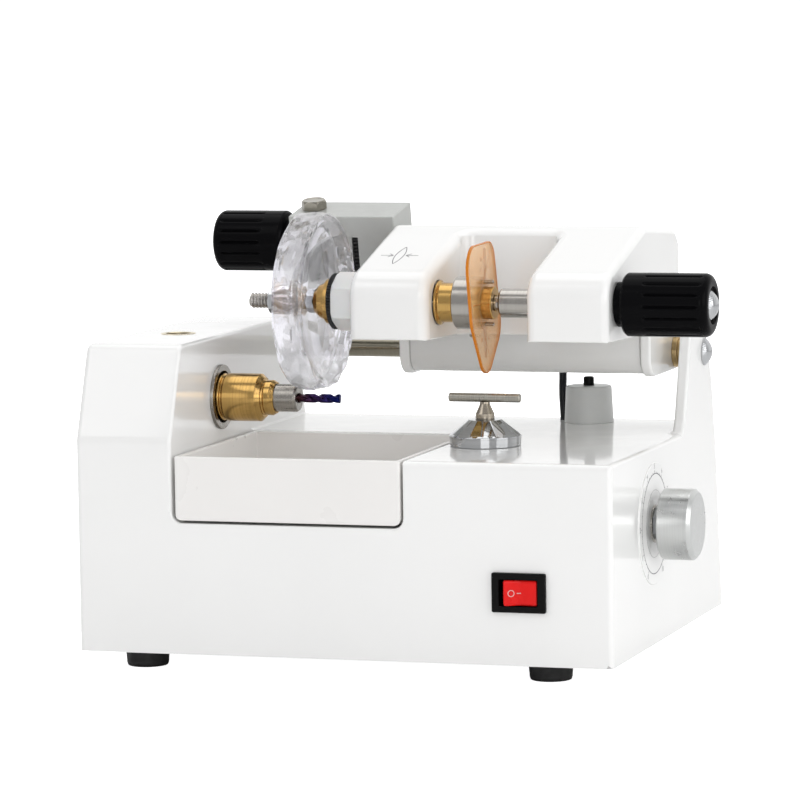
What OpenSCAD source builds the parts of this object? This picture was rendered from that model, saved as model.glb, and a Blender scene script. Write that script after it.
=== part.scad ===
// Pattern-guided lens cutting machine: a casing with a milling spindle and a
// swinging head that turns a lens blank and its template on one spindle.
//
// All sub-parts are drawn in the casing frame: X = 0 is the outer face of the
// right wall (the casing lies on the -X side), Y = 0 is the front face and
// Z = 0 is the surface the feet stand on. placed() then moves that frame so
// that the origin is under the middle of the whole machine.

/* [Casing] */
// Width of the casing over its side walls
base_w = 213; // [210:1:218]
// Depth of the casing at its bottom edge
base_d = 172.5; // [171:0.5:176]
// Height of the deck above the table
deck_z = 84.3; // [84:0.1:85]
// Width of the spindle tower on the left
tower_w = 39; // [38:0.5:40]
// Height of the tower above the table
tower_z = 125.8; // [124:0.1:127]
// Wall thickness of the casing
wall = 3; // [2.5:0.1:3.5]
// Height of the rubber feet
foot_h = 8; // [7:0.5:8]

/* [Head] */
// Distance of the lens spindle and the cutter behind the front face
axis_y = 57.5; // [57:0.1:58]
// Height of the lens spindle with the head lowered
lens_z = 139.5; // [139:0.1:141]
// Distance of the head pivot behind the front face
pivot_y = 144.5; // [144:0.1:145]
// Height of the head pivot
pivot_z = 113.6; // [113:0.1:114]
// Inset of the head's right side from the casing's right side
head_right = 12; // [11.8:0.1:12.5]
// Length of the head along the spindle
head_w = 103.4; // [103:0.1:104]

/* [Lens and template] */
// Diameter of the uncut lens blank
lens_d = 70; // [60:1:70]
// Edge thickness of the lens blank
lens_t = 12; // [8:0.5:12]
// Thickness of the plastic template
template_t = 1.2; // [1:0.1:1.5]

/* [Cutter] */
// Height of the milling spindle
cutter_z = 101.4; // [101:0.1:102]
// Diameter of the milling bit
bit_d = 3.6; // [2:0.1:4]

/* [Knobs] */
// Diameter of the two black knobs
knob_d = 24.4; // [22:0.1:25]
// Length of the body of the hand knob
knob_len = 34; // [32:0.1:35]
// Length of the body of the feed knob
feed_knob_len = 29.3; // [27:0.1:31]
// Diameter of the speed knob
speed_knob_d = 27.4; // [24:0.1:30]

/* [Hidden] */
$fn = 64;

// Fits
run_gap = 0.05;      // radial gap of a shaft in its bearing
part_gap = 0.3;      // gap between parts that pass each other
slip_gap = 0.02;     // gap between parts of one body that fit together
eps = 0.01;

// The right knob stands out past the casing and sets the overall width
knob_neck_len = 3.1;
knob_end_x = knob_neck_len + knob_len - head_right + 0.3;
knob_recess = 1.1;       // the bolt's head sits this deep in the knob's end
dome_h = 3.2;
knob_overhang = knob_end_x - knob_recess + dome_h;
overall_w = base_w + knob_overhang;
right_x = overall_w / 2 - knob_overhang;

// The switch rocker stands out in front of the casing and sets the overall depth
rocker_tilt = 9;
rocker_pivot_y = 3.6;
rocker_edge = 6.2;
rocker_reach = rocker_edge * (sin(rocker_tilt) + cos(rocker_tilt)) - rocker_pivot_y;
front_y = rocker_reach - (base_d + rocker_reach) / 2;

// Casing outline, seen from the side as [distance from the front, height]
bottom_z = foot_h;
tower_x = -(base_w - tower_w);
rear_low = [base_d - 6.9, 62];
rear_high = [base_d - 15.5, 101.7];
low_outline = [
    [0, bottom_z], [base_d, bottom_z], rear_low,
    [rear_low.x - 4.8, deck_z], [0, deck_z]
];
tower_outline = [
    [0, bottom_z], [base_d, bottom_z], rear_low, rear_high, [149.5, 122],
    [145, tower_z], [16.5, tower_z], [12.3, 122.5], [0.9, 92.5], [0, 89.5]
];
post_outline = [
    [70, deck_z - 20], [rear_low.x - 1, deck_z - 20], [rear_low.x - 4.8, deck_z],
    rear_high, [149.5, 122], [145, tower_z], [127, tower_z], [122.5, 122],
    [112, deck_z + 3], [106, deck_z]
];
post_t = 4.6;

// Screws that hold the base plate, and the hole in the tower's top
screw_inset = 8;
screw_bore_r = 1.55;
tower_hole = [-192.5, 60.9];

// Tray and the recess that holds it
tray_left = 172.6;
tray_right = 82.2;
tray_floor_z = 59.6;
tray_depth = 91;
tray_wall = 2;
recess_gap = 1;

// Cutter drive
motor_y = 125;
motor_z = 42;
motor_r = 21;
belt_x = tower_x - 23;
spindle_pulley_r = 9;
motor_pulley_r = 12;
bearing_r = 11;
bearing_w = 7;
shaft_r = 4;
nut_r = 9.4;
nut_nose_r = 6.95;
collet_r = 5.5;
cutter_nut_x = tower_x - 1;
cutter_nose_x = tower_x + 18.8;
cutter_face_x = tower_x + 23.6;
collet_tip_x = tower_x + 32.6;
bit_tip_x = tower_x + 49.6;

// Pattern rest
rest_x = -65.6;
rest_r = 14;
rest_top_z = deck_z + 10.1;
stem_r = 3.65;
stem_top_r = 1.9;
stem_low_z = deck_z - 16;
bar_r = 1.75;
bar_len = 28.7;
bar_z = 102.8;

// Switch and speed control
switch_x = -35.9;
switch_z = 35.8;
switch_w = 21;
switch_h = 15;
dial_y = 62.6;
dial_z = 54.8;

// Stop under the head
stop_x = -48.5;
stop_y = 146.5;
stop_top_z = 99.1;

// Head outline, seen from the side
head_left = head_right + head_w;
head_front = 42;
head_rear = 154;
under_front_z = 126;
under_slope = 0.032;
nose_r = 11;
head_outline = concat(
    [[head_front, under_front_z]],
    arc_points(head_front + nose_r, 142, nose_r, 180, 105, 8),
    [[97, 166.2], [101, 167.1], [146, 163.6], [150, 161.2], [152, 157]],
    [[head_rear, 126], [head_rear, under_z(head_rear)]]
);
recess_left = 83.8;
recess_right = 44.7;
recess_back_low = 86;
recess_back_high = 92;
plate_t = 4.2;
shell_front = 106;
plate_front = 105;
plate_rear = 155;
plate_bottom_z = 106.3;
shell_bottom_z = 107.3;
corner_r = 12;

// Stations along the lens spindle, as distances from the right wall
stud_tip = 160.7;
lens_left = 142.6;
lens_right_rim = 128.4;
lens_dish = 9;
cup_right = 126.7;
ring_right = 124.6;
hub_right = 115.9;
sleeve_left = 83.4;
collar_left = 76.1;
template_left = 66.2;
template_right = template_left - template_t;
nut_right = 60.9;
tail_left = 58.6;
thread_r = 3;
neck_r = 2.8;           // the stud under its nuts and cups
nut_left = 152.4;
spindle_r = 5.6;

// Head drive
head_motor_y = 118;
head_motor_z = 141;
lens_belt_x = -98.5;
lens_pulley_r = 9;
gear_pulley_r = 6;
belt_w = 5;
belt_t = 1;
tunnel_r = 10.7;
inner_bearing_end = 84.9;
bush_r = 8;
head_screw_xs = [-79, -48];
head_screw_y = 90;

// Feed block on the head's left end
block_len = 44;
block_front = 100;
block_depth = 23.8;
block_h = 28;
block_top_z = 169.8;
block_tilt = 10.7;
feed_y = 111;
feed_z = 159.2;

// Lead between the head and the deck: hand-placed route points
cable_r = 1.6;
cable_route = [
    [-60.5, 152, 80], [-60.5, 152, 86], [-60.7, 151.9, 90], [-60.8, 151.6, 94],
    [-60.7, 151.2, 98], [-60.5, 150.8, 101], [-60.4, 150.5, 104], [-60.4, 150.4, 107.3]
];

// Height of the head's underside at a distance behind the front face
function under_z(y) = under_front_z - (y - head_front) * under_slope;

function arc_points(cx, cy, r, a0, a1, n) =
    [for (i = [0:n]) let (a = a0 + (a1 - a0) * i / n) [cx + r * cos(a), cy + r * sin(a)]];

// Moves the casing frame to the part's own frame
module placed() {
    translate([right_x, front_y, 0]) children();
}

// A [distance from front, height] outline drawn out along X from x0 to x1
module along_x(x0, x1) {
    translate([x0, 0, 0])
        rotate([90, 0, 90])
            linear_extrude(height = x1 - x0)
                children();
}

// A round bar along X
module bar_x(x0, x1, r, y = 0, z = 0, r2 = undef, fn = $fn) {
    translate([x0, y, z])
        rotate([0, 90, 0])
            cylinder(h = x1 - x0, r1 = r, r2 = is_undef(r2) ? r : r2, $fn = fn);
}

// A ring along X
module ring_x(x0, x1, r, bore, y = 0, z = 0) {
    difference() {
        bar_x(x0, x1, r, y, z);
        bar_x(x0 - 1, x1 + 1, bore, y, z);
    }
}

// A screw with a domed head whose top points along +X
module dome_screw_x(x, y, z, head_r, height, shank_r, shank_len) {
    dome_r = (head_r * head_r + height * height) / (2 * height);
    half_angle = asin(head_r / dome_r);
    translate([x, y, z]) rotate([0, 90, 0]) rotate_extrude() polygon(concat(
        [[0, -shank_len], [shank_r, -shank_len], [shank_r, 0]],
        [for (a = [half_angle:-half_angle / 8:0.01])
            [dome_r * sin(a), height - dome_r + dome_r * cos(a)]],
        [[0, height]]
    ));
}

// A tube swept along a list of points; flat_ends cuts both ends level
module swept_tube(route, r, sides, flat_ends = false) {
    last = len(route) - 1;
    function unit(v) = v / norm(v);
    function heading(i) =
        flat_ends && (i == 0 || i == last)
            ? [0, 0, 1]
            : unit(route[min(i + 1, last)] - route[max(i - 1, 0)]);
    function side_dir(t) = unit(cross(t, abs(t.y) < 0.9 && flat_ends ? [0, 1, 0] : [0, 0, 1]));
    function ring_point(i, k) =
        let (t = heading(i), u = side_dir(t), v = cross(t, u), a = 360 * k / sides)
        route[i] + r * (cos(a) * u + sin(a) * v);
    points = [for (i = [0:last], k = [0:sides - 1]) ring_point(i, k)];
    walls = [for (i = [0:last - 1], k = [0:sides - 1], half = [0, 1])
        let (a = i * sides + k, b = a + sides,
             c = (i + 1) * sides + (k + 1) % sides, d = i * sides + (k + 1) % sides)
        half == 0 ? [a, b, c] : [a, c, d]];
    caps = [[for (k = [0:sides - 1]) k],
            [for (k = [sides - 1:-1:0]) last * sides + k]];
    polyhedron(points = points, faces = concat(walls, caps));
}

// A closed loop of flat belt round two pulleys, in the Y-Z plane
module belt_loop(x0, w, ya, za, ra, yb, zb, rb, t) {
    along_x(x0, x0 + w)
        difference() {
            hull() {
                translate([ya, za]) circle(r = ra + t);
                translate([yb, zb]) circle(r = rb + t);
            }
            hull() {
                translate([ya, za]) circle(r = ra);
                translate([yb, zb]) circle(r = rb);
            }
        }
}

// Casing -------------------------------------------------------------------

module casing_outer() {
    along_x(-base_w, 0) polygon(low_outline);
    along_x(-base_w, tower_x) polygon(tower_outline);
    along_x(-post_t, 0) polygon(post_outline);
}

module casing_hollow() {
    along_x(-base_w + wall, -wall)
        intersection() {
            offset(delta = -wall) polygon(low_outline);
            translate([0, bottom_z - 1]) square([base_d, 200]);
        }
    along_x(-base_w + wall, tower_x - wall)
        offset(delta = -wall) polygon(tower_outline);
    translate([-base_w + wall, wall, bottom_z - 1])
        cube([base_w - 2 * wall, base_d - 2 * wall - 0.3, wall + 1 + eps]);
}

module recess_box(grow) {
    translate([tower_x - grow, -1, tray_floor_z - recess_gap - grow])
        cube([-tower_x - tray_right + recess_gap + 2 * grow, tray_depth + 2 + 1 + grow, 60]);
}

module corner_places() {
    for (x = [-base_w + screw_inset, -screw_inset], y = [screw_inset, base_d - screw_inset - 4])
        translate([x, y, bottom_z]) children();
}

module screw_bosses() {
    corner_places() translate([0, 0, 2.3]) cylinder(h = 20, r = 5.5);
}

module casing() {
    color("white") placed() difference() {
        union() {
            difference() {
                casing_outer();
                casing_hollow();
            }
            intersection() {
                recess_box(2.5);
                along_x(-base_w, 0) polygon(low_outline);
            }
            intersection() {
                screw_bosses();
                casing_outer();
            }
            translate([rest_x, axis_y, deck_z - 14]) cylinder(h = 12, r = 8);
            bar_x(tower_x - 20, tower_x - wall + eps, 8.5, pivot_y, pivot_z);
        }
        translate([0, 0, eps]) recess_box(0);
        bar_x(tower_x - 10, tower_x + 1, 12.25, axis_y, cutter_z);
        bar_x(tower_x - 19, tower_x + 1, shaft_r + slip_gap, pivot_y, pivot_z);
        bar_x(-post_t - 1, 1, 3.1, pivot_y, pivot_z);
        translate([rest_x, axis_y, deck_z - 20]) cylinder(h = 30, r = stem_r + run_gap);
        translate([stop_x, stop_y, deck_z - 10]) cylinder(h = 20, r = 4.2);
        translate([cable_route[0].x, cable_route[0].y, deck_z - 10]) cylinder(h = 20, r = cable_r + 0.3);
        translate([tower_hole.x, tower_hole.y, tower_z - 10]) cylinder(h = 20, r = 6);
        translate([switch_x - 9.5, -1, switch_z - 6.4]) cube([19, 10, 12.8]);
        bar_x(-10, 1, 3.6, dial_y, dial_z);
        rear_panel() translate([-13.6, -8, -10]) cube([27.2, 16, 20]);
        corner_places() cylinder(h = 14, r = screw_bore_r);
    }
}

// Origin on the outside of the sloping rear wall, +Y outwards
module rear_panel() {
    slope = atan2(base_d - rear_low.x, rear_low.y - bottom_z);
    translate([-42, base_d - (35 - bottom_z) * tan(slope), 35])
        rotate([slope, 0, 0]) children();
}

module base_plate() {
    color("silver") placed() difference() {
        translate([-base_w + wall + 0.2, wall + 0.2, bottom_z])
            cube([base_w - 2 * wall - 0.4, base_d - 2 * wall - 0.9, 2]);
        translate([0, 0, -bottom_z]) corner_places() cylinder(h = 20, r = screw_bore_r + 0.15);
        foot_places() cylinder(h = 20, r = 2.1);
    }
}

module foot_places() {
    for (x = [-base_w + 20, -30], y = [21.5, base_d - 26])
        translate([x, y, 0]) children();
}

module base_screws() {
    color("silver") placed() {
        corner_places() translate([0, 0, -0.9]) {
            cylinder(h = 0.9, r = 2.8);
            cylinder(h = 12, r = screw_bore_r - 0.05);
        }
        foot_places() {
            translate([0, 0, 2.5]) cylinder(h = 2, r = 3.4);
            translate([0, 0, 2.5]) cylinder(h = 11, r = 2);
            translate([0, 0, bottom_z + 2]) cylinder(h = 3, r = 3.6, $fn = 6);
        }
    }
}

module rubber_feet() {
    color("black") placed() foot_places() difference() {
        cylinder(h = foot_h, r1 = 8, r2 = 8.8);
        translate([0, 0, -1]) cylinder(h = 5.5 + eps, r = 4);
        cylinder(h = foot_h + 1, r = 2.1);
    }
}

module chip_tray() {
    w = tray_left - tray_right;
    color("white") placed() translate([-tray_left, 0, tray_floor_z]) difference() {
        cube([w, tray_depth, deck_z - tray_floor_z]);
        translate([tray_wall, tray_wall, tray_wall])
            cube([w - 2 * tray_wall, tray_depth - 2 * tray_wall, 60]);
    }
}

module tower_bush() {
    color("goldenrod") placed() translate([tower_hole.x, tower_hole.y, tower_z - 8]) difference() {
        union() {
            cylinder(h = 8, r = 6 - slip_gap);
            translate([0, 0, 8]) cylinder(h = 0.2, r = 6.9);
        }
        translate([0, 0, -1]) cylinder(h = 12, r = 5);
    }
}

// Cutter spindle and its drive -----------------------------------------------

module spindle_cartridge() {
    color("silver") placed() difference() {
        union() {
            bar_x(tower_x, tower_x + 1.3, 12.8, axis_y, cutter_z);
            bar_x(tower_x - 18, tower_x + eps, 12.2, axis_y, cutter_z);
        }
        bar_x(tower_x - 19, tower_x - 2, bearing_r, axis_y, cutter_z);
        bar_x(tower_x - 3, tower_x + 2, nut_r + part_gap, axis_y, cutter_z);
    }
}

module spindle_bearings() {
    color("lightgray") placed() {
        for (x = [tower_x - 17.5, tower_x - 9.6])
            ring_x(x, x + bearing_w, bearing_r - slip_gap, shaft_r + run_gap, axis_y, cutter_z);
    }
}

module cutter_spindle() {
    color("silver") placed() {
        bar_x(tower_x - 29, tower_x + 12, shaft_r, axis_y, cutter_z);
        difference() {
            bar_x(belt_x - 4.5, belt_x + 4.5, spindle_pulley_r + 2, axis_y, cutter_z);
            ring_x(belt_x - 3, belt_x + 3, 20, spindle_pulley_r, axis_y, cutter_z);
        }
    }
}

module collet_nut() {
    color("goldenrod") placed() difference() {
        union() {
            bar_x(cutter_nut_x, cutter_nose_x - 1.5, nut_r, axis_y, cutter_z);
            bar_x(cutter_nose_x - 1.5, cutter_nose_x, nut_r, axis_y, cutter_z, nut_r - 1.5);
            bar_x(cutter_nose_x - 1, cutter_face_x, nut_nose_r, axis_y, cutter_z);
        }
        bar_x(cutter_nut_x - 1, tower_x + 12.5, shaft_r + slip_gap, axis_y, cutter_z);
        bar_x(tower_x + 12.5 - eps, cutter_face_x + 1, collet_r, axis_y, cutter_z);
    }
}

module collet() {
    color("silver") placed()
        ring_x(tower_x + 12.6, collet_tip_x, collet_r - slip_gap, bit_d / 2 + slip_gap, axis_y, cutter_z);
}

module milling_bit() {
    color("indigo") placed() bar_x(tower_x + 14, bit_tip_x, bit_d / 2, axis_y, cutter_z);
}

module cutter_motor() {
    color("dimgray") placed() difference() {
        union() {
            bar_x(tower_x + 12, tower_x + 70, motor_r, motor_y, motor_z);
            bar_x(tower_x + 9, tower_x + 12.5, 8, motor_y, motor_z);
            bar_x(tower_x + 69.5, tower_x + 74, 9, motor_y, motor_z);
        }
        bar_x(tower_x + 8, tower_x + 60, 2.5 + run_gap, motor_y, motor_z);
    }
}

module motor_bracket() {
    color("silver") placed() difference() {
        union() {
            translate([tower_x + 9, motor_y - 24, bottom_z + 2]) cube([3, 48, 54]);
            translate([tower_x + 9, motor_y - 24, bottom_z + 2]) cube([28, 48, 2.5]);
        }
        bar_x(tower_x + 8, tower_x + 12.4, 8 + slip_gap, motor_y, motor_z);
    }
}

module motor_pulley() {
    color("silver") placed() {
        bar_x(belt_x - 6, tower_x + 50, 2.5, motor_y, motor_z);
        difference() {
            bar_x(belt_x - 4.5, belt_x + 4.5, motor_pulley_r + 2, motor_y, motor_z);
            ring_x(belt_x - 3, belt_x + 3, 20, motor_pulley_r, motor_y, motor_z);
        }
    }
}

module drive_belt() {
    color("black") placed()
        belt_loop(belt_x - 2.5, 5, axis_y, cutter_z, spindle_pulley_r + 0.1,
                  motor_y, motor_z, motor_pulley_r + 0.1, 1.5);
}

// Pattern rest ----------------------------------------------------------------

module rest_ring() {
    color("silver") placed() translate([rest_x, axis_y, 0]) difference() {
        union() {
            translate([0, 0, deck_z + 0.1]) cylinder(h = 3.8, r = rest_r);
            translate([0, 0, deck_z + 3.9]) cylinder(h = 6.2, r1 = rest_r, r2 = 6);
        }
        translate([0, 0, deck_z - 1]) cylinder(h = 20, r = stem_r + run_gap);
    }
}

module rest_stem() {
    neck_z = rest_top_z + 2.2;
    color("silver") placed() translate([rest_x, axis_y, 0])
        rotate_extrude() polygon([[0, stem_low_z], [stem_r, stem_low_z], [stem_r, neck_z],
            [stem_top_r, bar_z - bar_r + 0.2], [0, bar_z - bar_r + 0.2]]);
}

module rest_bar() {
    color("silver") placed() difference() {
        bar_x(rest_x - bar_len / 2, rest_x + bar_len / 2, bar_r, axis_y, bar_z);
        translate([rest_x, axis_y, bar_z - bar_r - 3]) cylinder(h = 3.2, r = stem_top_r + 0.1);
    }
}

// Switch and speed control ------------------------------------------------------

module switch_body() {
    color("black") placed() difference() {
        union() {
            translate([switch_x - switch_w / 2, -1.8, switch_z - switch_h / 2])
                cube([switch_w, 1.8, switch_h]);
            translate([switch_x - 9.3, -eps, switch_z - 6.2]) cube([18.6, 14, 12.4]);
            for (dx = [-6, 0, 6])
                translate([switch_x + dx - 0.4, 13, switch_z - 2.4]) cube([0.8, 8, 4.8]);
        }
        difference() {
            translate([switch_x - 7.6, -3, switch_z - 5.1]) cube([15.2, 12, 10.2]);
            translate([switch_x, rocker_pivot_y, switch_z - 6]) cylinder(h = 12, r = 0.8);
        }
    }
}

module switch_rocker() {
    edge = rocker_edge;
    color("red") placed() translate([switch_x, rocker_pivot_y, 0])
        rotate([0, 0, rocker_tilt])
            translate([0, 0, switch_z - 4.8])
                difference() {
                    linear_extrude(height = 9.6)
                        polygon([[-6.6, -4], [-edge, -edge], [0, -5], [edge, -edge], [6.6, -4],
                                 [4.5, 1.5], [-4.5, 1.5]]);
                    translate([0, 0, -1]) cylinder(h = 12, r = 0.8 + run_gap);
                }
}

module dial_plate() {
    color("whitesmoke") placed() ring_x(0, 0.4, 23.5, 4, dial_y, dial_z);
}

module speed_knob() {
    color("silver") placed() difference() {
        union() {
            bar_x(4, 16.3, speed_knob_d / 2, dial_y, dial_z);
            bar_x(16.3, 17.4, speed_knob_d / 2, dial_y, dial_z, speed_knob_d / 2 - 1.1);
        }
        bar_x(3, 12, 3, dial_y, dial_z);
    }
}

module pot_shaft() {
    color("silver") placed() bar_x(-14, 11.8, 3 - slip_gap, dial_y, dial_z);
}

module potentiometer() {
    color("olive") placed() difference() {
        union() {
            bar_x(-15, -wall - 0.6, 12, dial_y, dial_z);
            bar_x(-wall - 1, 3.2, 3.55, dial_y, dial_z);
            bar_x(0.4, 2.6, 6.3, dial_y, dial_z, fn = 6);
            translate([-12, dial_y - 6, dial_z - 17]) cube([1.5, 12, 8]);
        }
        bar_x(-14.2, 20, 3 + run_gap, dial_y, dial_z);
    }
}

module control_board() {
    color("green") placed() translate([-86, 30, 0]) {
        for (x = [4, 52], y = [4, 60])
            translate([x, y, bottom_z + 2]) cylinder(h = 6, r = 2.5);
        translate([0, 0, bottom_z + 8]) cube([56, 64, 1.6]);
        translate([6, 8, bottom_z + 9.5]) cube([26, 22, 20]);
        translate([42, 16, bottom_z + 9.5]) cylinder(h = 24, r = 8);
        translate([10, 42, bottom_z + 9.5]) cube([36, 4, 22]);
        translate([44, 40, bottom_z + 9.5]) cube([8, 16, 9]);
    }
}

module power_inlet() {
    color("black") placed() rear_panel() difference() {
        union() {
            translate([-15, 0, -11.5]) cube([30, 1.6, 23]);
            translate([-13.4, -18, -9.8]) cube([26.8, 18 + eps, 19.6]);
        }
        translate([-11.5, -13, -8]) cube([23, 20, 16]);
    }
}

// Stop under the head --------------------------------------------------------------

module stop_boss() {
    color("lightgray") placed() translate([stop_x, stop_y, 0]) difference() {
        union() {
            translate([0, 0, deck_z]) cylinder(h = stop_top_z - deck_z, r1 = 9.9, r2 = 9.2);
            translate([0, 0, deck_z - 6]) cylinder(h = 7, r = 4.1);
        }
        translate([0, 0, deck_z - 4]) cylinder(h = 16, r = 3.4);
        cylinder(h = 200, r = 2.15 + run_gap);
    }
}

module stop_plunger() {
    color("black") placed() translate([stop_x, stop_y, 0]) {
        translate([0, 0, deck_z + 7]) cylinder(h = 11.4, r = 2.15);
        translate([0, 0, deck_z + 9.4]) cylinder(h = 2.3, r = 3.2);
    }
}

module stop_spring() {
    wire_r = 0.35;
    coil_r = 2.85;
    turns = 5;
    steps = 12;
    rise = 12.3;
    route = [for (i = [0:turns * steps])
        [coil_r * cos(360 * i / steps), coil_r * sin(360 * i / steps), rise * i / (turns * steps)]];
    color("silver") placed() translate([stop_x, stop_y, deck_z - 3.4])
        swept_tube(route, wire_r, 6);
}

// Head: castings and covers ------------------------------------------------------------

module recess_cut() {
    along_x(-recess_left, -recess_right)
        polygon([[head_front - 5, 100], [recess_back_low, 100], [recess_back_low, 126],
                 [recess_back_high, 163], [recess_back_high + 0.4, 190], [head_front - 5, 190]]);
}

module head_casting() {
    color("white") placed() difference() {
        along_x(-head_left, -head_right) polygon(head_outline);
        recess_cut();
        along_x(-head_left + 3, -head_right - 3)
            polygon([[96, 110], [head_rear - 3, 110], [head_rear - 3, 127],
                     [149, 156], [145, 159.4], [100, 162.6], [96, 161.5]]);
        bar_x(-107, -92, tunnel_r, axis_y, lens_z);
        translate([-107, axis_y, lens_z - tunnel_r]) cube([15, 48, 2 * tunnel_r]);
        bar_x(-head_left - 1, -106.9, bearing_r, axis_y, lens_z);
        bar_x(-92.1, -inner_bearing_end, bearing_r, axis_y, lens_z);
        bar_x(-recess_left - 3, -recess_left + 1, shaft_r + 0.5, axis_y, lens_z);
        bar_x(-recess_right - 1, -head_right + 1, bush_r, axis_y, lens_z);
        for (x = head_screw_xs)
            translate([x, head_screw_y, 110]) cylinder(h = 24, r = 1.25);
    }
}

// U-shaped outline whose open top follows the head's underside, raised by top
module rounded_plate_outline(front, rear, bottom, top, r) {
    polygon(concat(
        arc_points(front + r, bottom + r, r, 180, 270, 10),
        arc_points(rear - r, bottom + r, r, 270, 360, 10),
        [[rear, under_z(rear) + top], [front, under_z(front) + top]]
    ));
}

module head_shell() {
    color("gainsboro") placed() difference() {
        along_x(-head_left + plate_t, -head_right - plate_t)
            rounded_plate_outline(shell_front, plate_rear - 1, shell_bottom_z, 0, corner_r);
        along_x(-head_left + plate_t - 1, -head_right - plate_t + 1)
            rounded_plate_outline(shell_front + 1.2, plate_rear - 2.2, shell_bottom_z + 1.2,
                                  3, corner_r - 1.2);
        translate([cable_route[7].x, cable_route[7].y, 100]) cylinder(h = 5, r = 1);
    }
}

module end_plates() {
    color("white") placed() for (x = [-head_left, -head_right - plate_t])
        difference() {
            along_x(x, x + plate_t)
                rounded_plate_outline(plate_front, plate_rear, plate_bottom_z, 0, corner_r);
            bar_x(x - 1, x + plate_t + 1, 5.4, pivot_y, pivot_z);
        }
}

module head_screws() {
    color("silver") placed() for (x = head_screw_xs) translate([x, head_screw_y, under_z(head_screw_y)]) {
        translate([0, 0, -1.3]) cylinder(h = 1.2, r = 2.3);
        translate([0, 0, -1]) cylinder(h = 9, r = 1.2);
    }
}

module pivot_rod() {
    color("gray") placed() difference() {
        bar_x(tower_x - 18, -post_t - 0.05, shaft_r, pivot_y, pivot_z);
        bar_x(-20, 1, 3.05, pivot_y, pivot_z);
    }
}

module pivot_bolt() {
    color("silver") placed() dome_screw_x(0.02, pivot_y, pivot_z, 5.6, dome_h, 3, 18);
}

module pivot_bushes() {
    color("peru") placed() {
        difference() {
            union() {
                bar_x(-head_right - plate_t, -head_right + eps, 5.38, pivot_y, pivot_z);
                bar_x(-head_right, -head_right + 2.2, 6.4, pivot_y, pivot_z);
                bar_x(-head_right + 2, -post_t - part_gap, 5.4, pivot_y, pivot_z);
            }
            bar_x(-head_right - 10, 0, shaft_r + run_gap, pivot_y, pivot_z);
        }
        difference() {
            union() {
                bar_x(-head_left - eps, -head_left + plate_t, 5.38, pivot_y, pivot_z);
                bar_x(-head_left - 1.6, -head_left, 6.4, pivot_y, pivot_z);
            }
            bar_x(-head_left - 5, -head_left + 8, shaft_r + run_gap, pivot_y, pivot_z);
        }
    }
}

module head_bearings() {
    color("lightgray") placed() {
        for (x = [-head_left + 0.2, -inner_bearing_end - bearing_w])
            ring_x(x, x + bearing_w, bearing_r - slip_gap, shaft_r + run_gap, axis_y, lens_z);
        for (x = [-recess_right + 0.4, -head_right - 10.2])
            ring_x(x, x + 10, bush_r - slip_gap, spindle_r + run_gap, axis_y, lens_z);
    }
}

// Lens spindle train ---------------------------------------------------------------------

module lens_spindle() {
    color("silver") placed() {
        bar_x(-stud_tip, -nut_left, thread_r, axis_y, lens_z);
        bar_x(-nut_left - eps, -ring_right + 2, neck_r, axis_y, lens_z);
        bar_x(-ring_right + 1.9, -collar_left, shaft_r, axis_y, lens_z);
        bar_x(-collar_left - eps, -tail_left + 8, neck_r, axis_y, lens_z);
    }
}

module knob_spindle() {
    color("gray") placed() difference() {
        bar_x(-tail_left, 8, spindle_r, axis_y, lens_z);
        bar_x(-tail_left - 1, -tail_left + 9, thread_r + slip_gap, axis_y, lens_z);
        bar_x(-6, 9, 2.5 + slip_gap, axis_y, lens_z);
    }
}

module spindle_sleeve() {
    color("goldenrod") placed() difference() {
        union() {
            bar_x(-sleeve_left, -sleeve_left + 1.2, 8.65, axis_y, lens_z);
            bar_x(-sleeve_left + 1, -collar_left - slip_gap, 7.6, axis_y, lens_z);
        }
        bar_x(-sleeve_left - 1, -collar_left + 1, shaft_r + slip_gap, axis_y, lens_z);
    }
}

module lens_pulley() {
    color("silver") placed() difference() {
        bar_x(lens_belt_x - 4, lens_belt_x + 4, lens_pulley_r, axis_y, lens_z);
        bar_x(lens_belt_x - 5, lens_belt_x + 5, shaft_r + slip_gap, axis_y, lens_z);
    }
}

module template_collar() {
    color("silver") placed() {
        ring_x(-collar_left, -template_left, 10.2, thread_r + slip_gap, axis_y, lens_z);
        for (side = [-1, 1])
            bar_x(-template_left - eps, -nut_right - 0.4, 0.75, axis_y, lens_z + side * 8.2);
    }
}

module template() {
    color("orange") placed() difference() {
        along_x(-template_left + slip_gap, -template_right)
            translate([axis_y, lens_z]) hull() {
                translate([-12.5, 14]) circle(r = 9);
                translate([6, 15]) circle(r = 8.4);
                translate([11.5, -9]) circle(r = 9.8);
                translate([2.5, -18.4]) circle(r = 9.1);
                translate([-6, -3]) circle(r = 11.8);
            }
        bar_x(-template_left - 1, -template_right + 1, thread_r + 0.1, axis_y, lens_z);
        for (side = [-1, 1])
            bar_x(-template_left - 1, -template_right + 1, 0.85, axis_y, lens_z + side * 8.2);
    }
}

module template_nut() {
    color("goldenrod") placed()
        ring_x(-template_right + slip_gap, -nut_right, 6.4, thread_r + slip_gap, axis_y, lens_z);
}

// Black knob: neck at x = 0, body and rounded end towards +X
module knob_shape(body_len, bore, bore_len) {
    body_x = knob_neck_len;
    end_x = body_x + body_len;
    end_r = knob_d / 2;
    difference() {
        rotate([0, 90, 0]) rotate_extrude() polygon(concat(
            [[0, 0], [8.65, 0], [8.65, body_x], [end_r - 0.8, body_x], [end_r, body_x + 0.8]],
            arc_points(end_r - 3, end_x - 3, 3, 0, 90, 6),
            [[7, end_x], [7, end_x - knob_recess], [0, end_x - knob_recess]]
        ));
        bar_x(-1, bore_len, bore);
    }
}

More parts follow.
